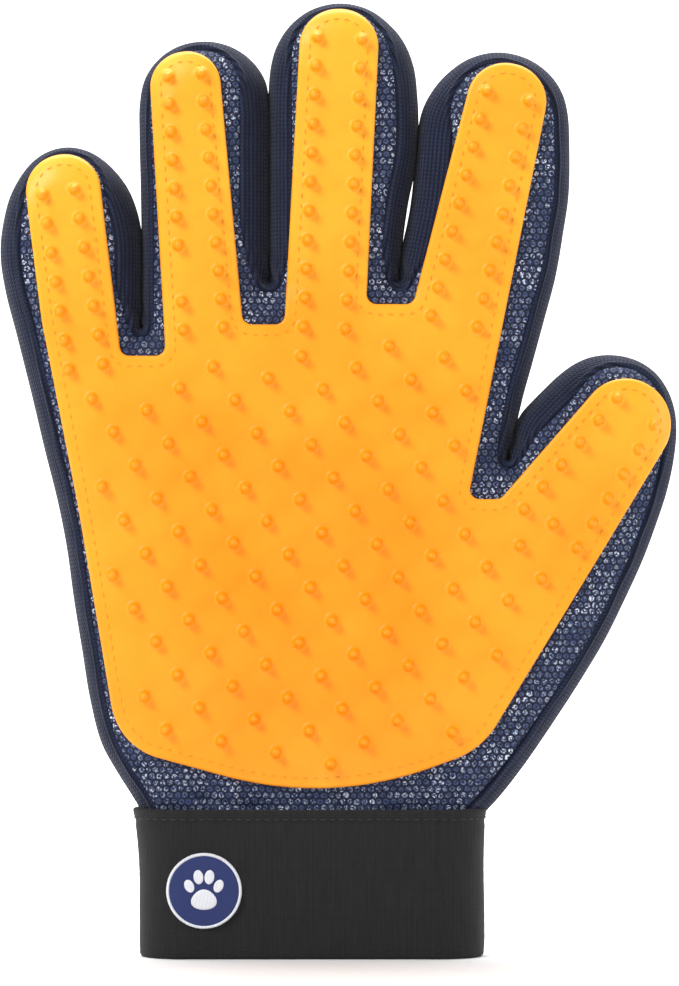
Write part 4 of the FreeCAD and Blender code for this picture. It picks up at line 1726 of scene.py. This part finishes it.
@dataclass(frozen=True)
class DashLine:
    """A line of separate stitches, each a short fat thread sunk at both ends."""

    pitch: float
    length: float
    radius: float

    STATIONS = 5
    SIDES = 6
    FACES = (STATIONS - 1) * SIDES

    @staticmethod
    def whole(owner: Points) -> Points:
        """Gives all faces of a stitch the body of its first face."""
        return np.repeat(owner[::DashLine.FACES], DashLine.FACES)

    def surface(self, path: Points, lay: Callable[[Points, Points], Points],
                free: Callable[[Points], bool]) -> Surface:
        """Makes the stitches.

        Args:
            path: flat points that the line follows.
            lay: places flat points at a lift above the face they are sewn to.
            free: says whether a stitch may be at a flat point.

        Returns:
            All of them as one surface.
        """
        along = lengths(path)
        flats, lifts, faces, weave = [], [], [], []
        count = int(along[-1] / self.pitch)
        for k in range(count):
            centre = (k + 0.5) * self.pitch
            at = centre + np.linspace(-0.5, 0.5, self.STATIONS) * self.length
            spots = np.column_stack([np.interp(at, along, path[:, c]) for c in (0, 1)])
            if not free(spots[self.STATIONS // 2]):
                continue
            run = spots[-1] - spots[0]
            side = np.array([run[1], -run[0]]) / np.linalg.norm(run)
            first = len(flats)
            for j, spot in enumerate(spots):
                swell = math.sin(math.pi * (0.12 + 0.76 * j / (self.STATIONS - 1)))
                for s in range(self.SIDES):
                    turn = 2 * math.pi * s / self.SIDES
                    flats.append(spot + side * (self.radius * swell * math.cos(turn)))
                    lifts.append(self.radius * (swell * math.sin(turn) + 0.9 * swell - 0.75))
                    weave.append((at[j], s / self.SIDES, 0.0))
            for j in range(self.STATIONS - 1):
                a = first + j * self.SIDES
                for s in range(self.SIDES):
                    following = (s + 1) % self.SIDES
                    faces.append((a + s, a + self.SIDES + s,
                                  a + self.SIDES + following, a + following))
        return Surface(lay(np.array(flats), np.array(lifts)), faces, np.array(weave))


# ------------------------------------------------------------------ cuff

def mm_box(node: str) -> tuple[Points, Points]:
    """A CAD node's lowest and highest corners, in mm."""
    low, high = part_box(node)
    return np.array(low) / MM, np.array(high) / MM


@dataclass
class ElasticCuff:
    """The woven elastic cuff, its seam to the hand and the badge sewn to it."""

    finishes: Finishes
    wall: float = 1.9
    step: float = 0.9
    rows: int = 46
    end_points: int = 26
    seam_down: float = 3.4       # the sewn line is this far below the top
    cut: tuple[float, float] = (0.192, 0.037)  # the flat band before it is sewn, in metres

    def __post_init__(self) -> None:
        """Reads the cuff's size from its CAD box."""
        self.low, self.high = mm_box("cuff_band")

    def path(self, shrink: float) -> Points:
        """The cuff's flattened oval at a distance inside its outer face, anticlockwise.

        Args:
            shrink: the distance inside the outer face.

        Returns:
            The points of the oval.
        """
        radius = (self.high[1] - self.low[1]) / 2 - shrink
        flat = (self.high[0] - self.low[0]) / 2 - (self.high[1] - self.low[1]) / 2
        turns = np.linspace(-math.pi / 2, math.pi / 2, self.end_points)
        right = np.column_stack([flat + radius * np.cos(turns), radius * np.sin(turns)])
        count = round(2 * flat / self.step)
        back = np.column_stack([np.linspace(flat, -flat, count)[1:-1], np.full(count - 2, radius)])
        return np.vstack([right, back, -right, -back])

    def sway(self, x: Points, z: Points | float) -> Points:
        """How far the elastic's face stands out of true: soft waves, and wider ends at the top.

        Args:
            x: the places along the face.
            z: the heights.

        Returns:
            How far out the face is.
        """
        wave = 0.16 * np.sin(x / 6.3 + z / 11.0) + 0.10 * np.sin(x / 2.7 - z / 5.0)
        rise = np.clip((z - 14.0) / 22.0, 0, 1) ** 2
        end = np.clip((np.abs(x) - 25.0) / 17.5, 0, 1) ** 2
        return wave + rise * end * np.where(x < 0, 1.5, 0.6)

    def surface(self) -> Surface:
        """The cuff as one closed band: out, over its top, in, and under its foot.

        Returns:
            The band.
        """
        top = self.high[2]
        outer = [(0.35, 0.0), (0.08, 0.25)]
        for k in range(self.rows):
            z = 0.7 + (top - 1.5) * k / (self.rows - 1)
            hem = 0.10 * math.exp(-((z - 3.0) / 3.0) ** 2)
            seam = -0.28 * math.exp(-((z - (top - self.seam_down)) / 0.5) ** 2)
            flare = 0.25 * math.exp(-((top - z) / 1.4) ** 2)
            rib = 0.02 * math.cos(2 * math.pi * z / 2.48)
            outer.append((-(hem + seam + flare + rib), z))
        wall = self.wall
        lip = [(-0.12, top - 0.3), (0.25, top), (wall - 0.4, top), (wall, top - 0.5)]
        inner = [(wall, z) for z in np.linspace(top - 3, 3, 8)]
        profile = outer + lip + inner + [(wall, 0.4), (wall - 0.4, 0.0)]
        base = self.path(0.0)
        out = inward(base, True)
        run = lengths(base)
        grid, weave = [], []
        for shrink, z in profile:
            sway = self.sway(base[:, 0], z) * np.clip(z / 4, 0, 1)
            spots = base + out * (sway - shrink)[:, None]
            grid.append(np.column_stack([spots[:, 0], spots[:, 1], np.full(len(base), z)]))
            weave.append(np.column_stack([run, np.full(len(base), z), np.full(len(base), shrink)]))
        columns, rows = len(base), len(profile)
        points = np.stack(grid, axis=1).reshape(-1, 3)
        weaves = np.stack(weave, axis=1).reshape(-1, 3)
        faces = []
        for i in range(columns):
            a, b = i * rows, ((i + 1) % columns) * rows
            for j in range(rows):
                k = (j + 1) % rows
                faces.append((a + j, b + j, b + k, a + k))
        return Surface(points, faces, weaves)

    def stitches(self) -> Surface:
        """The row of stitches below the cuff's upper edge.

        Returns:
            The stitches.
        """
        low, high = mm_box("cuff_stitching")
        z = (low[2] + high[2]) / 2
        base = self.path(0.0)
        base = np.vstack([base, base[:1]])
        along = lengths(base)
        out = inward(base[:-1], True)
        out = np.vstack([out, out[:1]])
        straight = np.column_stack([along, np.full(len(along), z)])

        def lay(spots: Points, lift: Points) -> Points:
            """Wraps flat points round the cuff.

            Args:
                spots: the flat points: the way round, and the height.
                lift: how far out each is.

            Returns:
                The points in space.
            """
            x, y = (np.interp(spots[:, 0], along, base[:, c]) for c in (0, 1))
            nx, ny = (np.interp(spots[:, 0], along, out[:, c]) for c in (0, 1))
            lift = lift + self.sway(x, spots[:, 1]) - 0.05
            return np.column_stack([x + nx * lift, y + ny * lift, spots[:, 1]])

        dashes = DashLine(pitch=along[-1] / round(along[-1] / 2.3), length=1.7, radius=0.24)
        return dashes.surface(straight, lay, lambda spot: True)

    def front(self, x: Points) -> Points:
        """How far forward the cuff's face is at x.

        Args:
            x: the places across the cuff.

        Returns:
            How far the face is from the middle.
        """
        radius = (self.high[1] - self.low[1]) / 2
        flat = (self.high[0] - self.low[0]) / 2 - radius
        over = np.clip(np.abs(x) - flat, 0, radius)
        return np.sqrt(radius * radius - over * over)

    def build(self) -> None:
        """Makes the cuff, its stitches and its badge."""
        cuff = place(self.surface().piece("CuffBand"), Limb.HAND, "cuff_band", "elastic",
                     self.finishes.elastic)
        place(self.stitches().piece("CuffStitches"), Limb.HAND, "cuff_stitching", "cuff_thread",
              self.finishes.dark_thread)
        badge = RoundBadge(self).surface()
        place(badge.piece("PawBadge"), Limb.HAND, "badge", "badge",
              self.finishes.navy_twill, self.finishes.white_thread)


@dataclass
class RoundBadge:
    """A round sewn badge with a plain paw print in a white border."""

    cuff: ElasticCuff
    border: float = 0.75
    thick: float = 0.75
    sides: int = 64
    paw: tuple[tuple[float, float, float, float, float], ...] = (
        (0.0, -2.1, 3.1, 2.5, 0.0), (-3.6, 1.2, 1.15, 1.65, 25.0), (-1.35, 3.4, 1.2, 1.75, 8.0),
        (1.35, 3.4, 1.2, 1.75, -8.0), (3.6, 1.2, 1.15, 1.65, -25.0),
    )

    def dome(self, x: float, z: float, half: Points, height: Points, tone: int,
             turn: float = 0.0, pinch: float = 0.0) -> Surface:
        """A raised shape of rings round a centre, laid on the cuff's face.

        Args:
            x: its centre.
            z: its centre.
            half: one row a ring: half width and half height.
            height: how high each ring stands.
            tone: the number of its material.
            turn: degrees that it is turned by.
            pinch: how much its upper part narrows.

        Returns:
            The surface.
        """
        sides = self.sides
        angle = np.linspace(0, 2 * math.pi, sides, endpoint=False)
        cos, sin = math.cos(math.radians(turn)), math.sin(math.radians(turn))
        points = []
        for (a, b), rise in zip(half, height):
            across = a * np.cos(angle) * (1 - pinch * np.sin(angle))
            up = b * np.sin(angle)
            px = x + across * cos - up * sin
            pz = z + across * sin + up * cos
            points.append(np.column_stack([px, -(self.cuff.front(px) + rise), pz]))
        rings = len(points)
        flat = np.stack(points, axis=1).reshape(-1, 3)
        faces = grid_faces(sides, rings, closed=True)
        centre = flat.reshape(sides, rings, 3)[:, -1].mean(0)
        flat = np.vstack([flat, centre])
        last = rings - 1
        faces += [
            (k * rings + last, ((k + 1) % sides) * rings + last, len(flat) - 1)
            for k in range(sides)
        ]
        return Surface(flat, faces, flat[:, [0, 2, 1]], [tone] * len(faces))

    def surface(self) -> Surface:
        """The badge's disc, border and paw print.

        Returns:
            The badge.
        """
        low, high = mm_box("badge")
        x, z = (low[0] + high[0]) / 2, (low[2] + high[2]) / 2
        radius = (high[0] - low[0]) / 2
        thick = self.thick
        inner = radius - self.border
        steps = [inner + 0.02, inner - 0.1, inner - 0.3] + list(np.linspace(inner - 0.9, 0.4, 12))
        disc = self.dome(
            x, z, np.array([(r, r) for r in steps]),
            np.array([thick * 0.9, thick, thick] + [thick * 0.97] * 12), 0)
        rim = [(radius, -0.1), (radius, 0.45), (radius - 0.08, 0.75), (radius - 0.25, 0.92),
               (radius - 0.42, 0.92), (inner + 0.1, 0.78), (inner - 0.02, 0.5)]
        border = self.dome(x, z, np.array([(r, r) for r, _ in rim]),
                           np.array([h for _, h in rim]), 1)
        border.faces = border.faces[:-self.sides]
        border.tone = border.tone[:-self.sides]
        whole = disc.joined(border)
        for px, pz, a, b, turn in self.paw:
            share = np.array([1.0, 1.0, 0.93, 0.8, 0.55, 0.25])
            rise = thick + np.array([-0.2, 0.10, 0.22, 0.28, 0.30, 0.31])
            pinch = 0.22 if a > 2 else 0.0
            whole = whole.joined(self.dome(
                x + px, z + pz, np.array([(a * s, b * s) for s in share]), rise, 1, turn, pinch))
        return whole


# ------------------------------------------------------------------ closure

@dataclass
class ClosureStrap:
    """The webbing strap, its sewn end and its fastening tapes on the back of the cuff."""

    finishes: Finishes
    step: float = 1.1
    bevel: float = 0.35
    square: float = 0.3          # corner radius of a cut end
    weft: float = 1.65           # from one cross rib to the next
    rib: float = 0.05

    def slab(self, node: str, radius: float, ribs: float = 0.0) -> Surface:
        """A flat strip in a CAD node's box, rounded at its free end.

        Args:
            node: the CAD node.
            radius: the corner radius of its free end.
            ribs: how high the webbing's cross ribs stand.

        Returns:
            A closed surface.
        """
        low, high = mm_box(node)
        loop = rounded_loop(
            [(low[0], low[2], self.square), (low[0], high[2], self.square),
             (high[0], high[2], radius), (high[0], low[2], radius)],
            self.step)
        normal = inward(loop, True)
        b = min(self.bevel, (high[1] - low[1]) * 0.4)
        middle = (low[1] + high[1]) / 2
        edge = [(b, low[1]), (b * 0.3, low[1] + b * 0.3), (0.0, low[1] + b), (0.0, middle),
                (0.0, high[1] - b), (b * 0.3, high[1] - b * 0.3), (b, high[1])]
        rows = []
        for gap, y in edge:
            spots = loop + normal * gap
            rows.append(np.column_stack([spots[:, 0], np.full(len(loop), y), spots[:, 1]]))
        grid = np.stack(rows, axis=1)
        count, columns = grid.shape[:2]
        points = grid.reshape(-1, 3)
        faces = grid_faces(count, columns, closed=True)
        inner = loop + normal * b
        flat, triangles = fill(inner, lattice(inner, self.step, 0.5))
        for column, y, sign in ((0, low[1], -1), (columns - 1, high[1], 1)):
            wave = ribs * np.sin(flat[:, 0] * 2 * math.pi / self.weft)
            wave = wave * np.clip(signed_gap(flat, inner), 0, 1)
            face = np.column_stack([flat[:, 0], y + sign * wave, flat[:, 1]])
            border = np.arange(count) * columns + column
            points = capped(points, faces, border, face, triangles, sign > 0)
        return Surface(points, faces, points[:, [0, 2, 1]])

    def box_stitches(self, node: str, margin: float, outside: float) -> Surface:
        """A square of stitches with a cross in it, on the back face of a node.

        Args:
            node: the node.
            margin: how far the square is from its edge.
            outside: how far the thread stands off the face.

        Returns:
            The stitches.
        """
        low, high = mm_box(node)
        x0, x1 = low[0] + margin, high[0] - margin
        z0, z1 = low[2] + margin, high[2] - margin
        lines = [
            [(x0, z0), (x0, z1)], [(x0, z1), (x1, z1)], [(x1, z1), (x1, z0)],
            [(x1, z0), (x0, z0)], [(x0, z0), (x1, z1)], [(x0, z1), (x1, z0)],
        ]

        def lay(spots: Points, lift: Points) -> Points:
            """Puts flat points on the node's back face."""
            return np.column_stack([spots[:, 0], high[1] + lift + outside, spots[:, 1]])

        found = None
        for line in lines:
            path = np.array(line, float)
            total = lengths(path)[-1]
            dashes = DashLine(pitch=total / round(total / 2.0), length=1.5, radius=0.2)
            made = dashes.surface(path, lay, lambda spot: True)
            found = made if found is None else found.joined(made)
        return found

    def build(self) -> None:
        """Makes the strap's pieces, each a strip of tape cut to its CAD node's size."""
        for node, name, limb, corner, ribs, slot, material, rests_on in (
                ("closure_strap", "ClosureStrap", Limb.CLOSURE, 6.0, self.rib, "strap_web",
                 self.finishes.webbing, "cuff_band"),
                ("strap_anchor", "StrapAnchor", Limb.HAND, 0.6, self.rib, "strap_web",
                 self.finishes.webbing, "cuff_band"),
                ("loop_patch", "LoopTape", Limb.HAND, 4.0, 0.0, "loop_tape",
                 self.finishes.loops, "cuff_band"),
                ("hook_patch", "HookTape", Limb.CLOSURE, 4.0, 0.0, "hook_tape",
                 self.finishes.hooks, "closure_strap")):
            tape = place(self.slab(node, corner, ribs).piece(name), limb, node, slot, material)
            low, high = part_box(node)
        place(self.box_stitches("strap_anchor", 1.6, 0.02).piece("AnchorStitches"), Limb.HAND,
              None, "cuff_thread", self.finishes.dark_thread)


# ------------------------------------------------------------------ studio

@dataclass(frozen=True)
class StudioLight:
    """One soft rectangular light."""

    name: str
    place: tuple[float, float, float]
    size: tuple[float, float]
    power: float

    def build(self, target: Vector) -> None:
        """Makes the light, turned to a point.

        Args:
            target: the point.
        """
        data = bpy.data.lights.new(self.name, "AREA")
        data.shape = "RECTANGLE"
        data.size, data.size_y = self.size
        data.energy = self.power
        lamp = bpy.data.objects.new(self.name, data)
        lamp.location = self.place
        lamp.rotation_euler = (target - Vector(self.place)).to_track_quat("-Z", "Y").to_euler()
        bpy.context.scene.collection.objects.link(lamp)


@dataclass
class Studio:
    """Pale floor and backdrop, soft lights and the camera."""

    lens: float = 180.0
    sensor: float = 36.0
    view_height: float = 0.2429
    centre: tuple[float, float] = (0.00685, 0.1143)
    sharp_y: float = -0.006      # the glove's face there fills the frame as view_height says
    reach: float = 6.0           # the floor's half width, and how far forward it runs
    bend: tuple[float, float] = (1.6, 0.8)  # where the floor curves up, and its radius
    wall_top: float = 3.4
    drop: float = 0.0002         # the floor is this far below the cuff's foot
    target: tuple[float, float, float] = (0.005, 0.0, 0.115)
    backdrop: tuple[float, float, float] = (0.0, 2.3, 0.20)

    def sweep(self) -> None:
        """The floor that curves up into a backdrop."""
        start, radius = self.bend
        profile = [(-self.reach, 0.0), (0.0, 0.0), (start, 0.0)]
        profile += [
            (start + radius * math.sin(a), radius - radius * math.cos(a))
            for a in np.linspace(0, math.pi / 2, 14)[1:]
        ]
        profile += [(start + radius, self.wall_top)]
        points = [(x, y, z - self.drop) for y, z in profile for x in (-self.reach, self.reach)]
        faces = [(2 * k, 2 * k + 1, 2 * k + 3, 2 * k + 2) for k in range(len(profile) - 1)]
        mesh = bpy.data.meshes.new("StudioSweep")
        mesh.from_pydata(points, [], faces)
        mesh.polygons.foreach_set("use_smooth", np.ones(len(faces), bool))
        floor = bpy.data.objects.new("StudioSweep", mesh)
        bpy.context.scene.collection.objects.link(floor)
        n = NodeSheet("studio_paper")
        grain = n.noise(n.nodes.new("ShaderNodeTexCoord").outputs["Object"], 400.0, 2.0)
        mesh.materials.append(n.finish(
            n.blend(grain, (0.74, 0.74, 0.74), (0.77, 0.77, 0.77)),
            n.remap(grain, 0.3, 0.7, 0.8, 0.9), n.bump(grain, 0.1, 0.05)))

    def camera(self) -> None:
        """The camera at the height of the glove's middle, looking straight along +Y."""
        data = bpy.data.cameras.new("StudioCamera")
        data.lens = self.lens
        data.sensor_width = self.sensor
        data.sensor_fit = "AUTO"
        eye = bpy.data.objects.new("StudioCamera", data)
        away = self.view_height * self.lens / self.sensor
        eye.location = (self.centre[0], self.sharp_y - away, self.centre[1])
        eye.rotation_euler = (math.pi / 2, 0, 0)
        bpy.context.scene.collection.objects.link(eye)
        bpy.context.scene.camera = eye

    def build(self) -> None:
        """Sets up the studio."""
        self.sweep()
        self.camera()
        for light, target in (
                (StudioLight("KeyLight", (-0.60, -0.60, 0.80), (0.4, 0.4), 9.0), self.target),
                (StudioLight("SideLight", (0.95, -0.25, 0.35), (0.4, 0.6), 3.0), self.target),
                (StudioLight("TopLight", (0.0, 0.30, 1.0), (0.9, 0.6), 8.5), self.target),
                (StudioLight("BackdropLight", (0.0, 0.45, 1.3), (2.4, 0.5), 78.0),
                 self.backdrop)):
            light.build(Vector(target))
        world = bpy.data.worlds.new("StudioWorld")
        world.use_nodes = True
        air = world.node_tree.nodes["Background"]
        air.inputs["Color"].default_value = (1.0, 1.0, 1.0, 1.0)
        air.inputs["Strength"].default_value = 0.55
        bpy.context.scene.world = world
        bpy.context.scene.view_settings.view_transform = "Standard"


def main() -> None:
    """Builds the glove round its frame, piece by piece."""
    logging.basicConfig(level=logging.INFO, format="%(name)s: %(message)s")
    finishes = Finishes()
    form = GloveForm()
    pad = RubberPad(form, finishes)
    ClothHand(form, finishes, pad_loop=pad.outline()).build()
    pad.build()
    ElasticCuff(finishes).build()
    ClosureStrap(finishes).build()
    Studio().build()
    LOG.info("all pieces are in place")


if __name__ == "__main__":
    main()
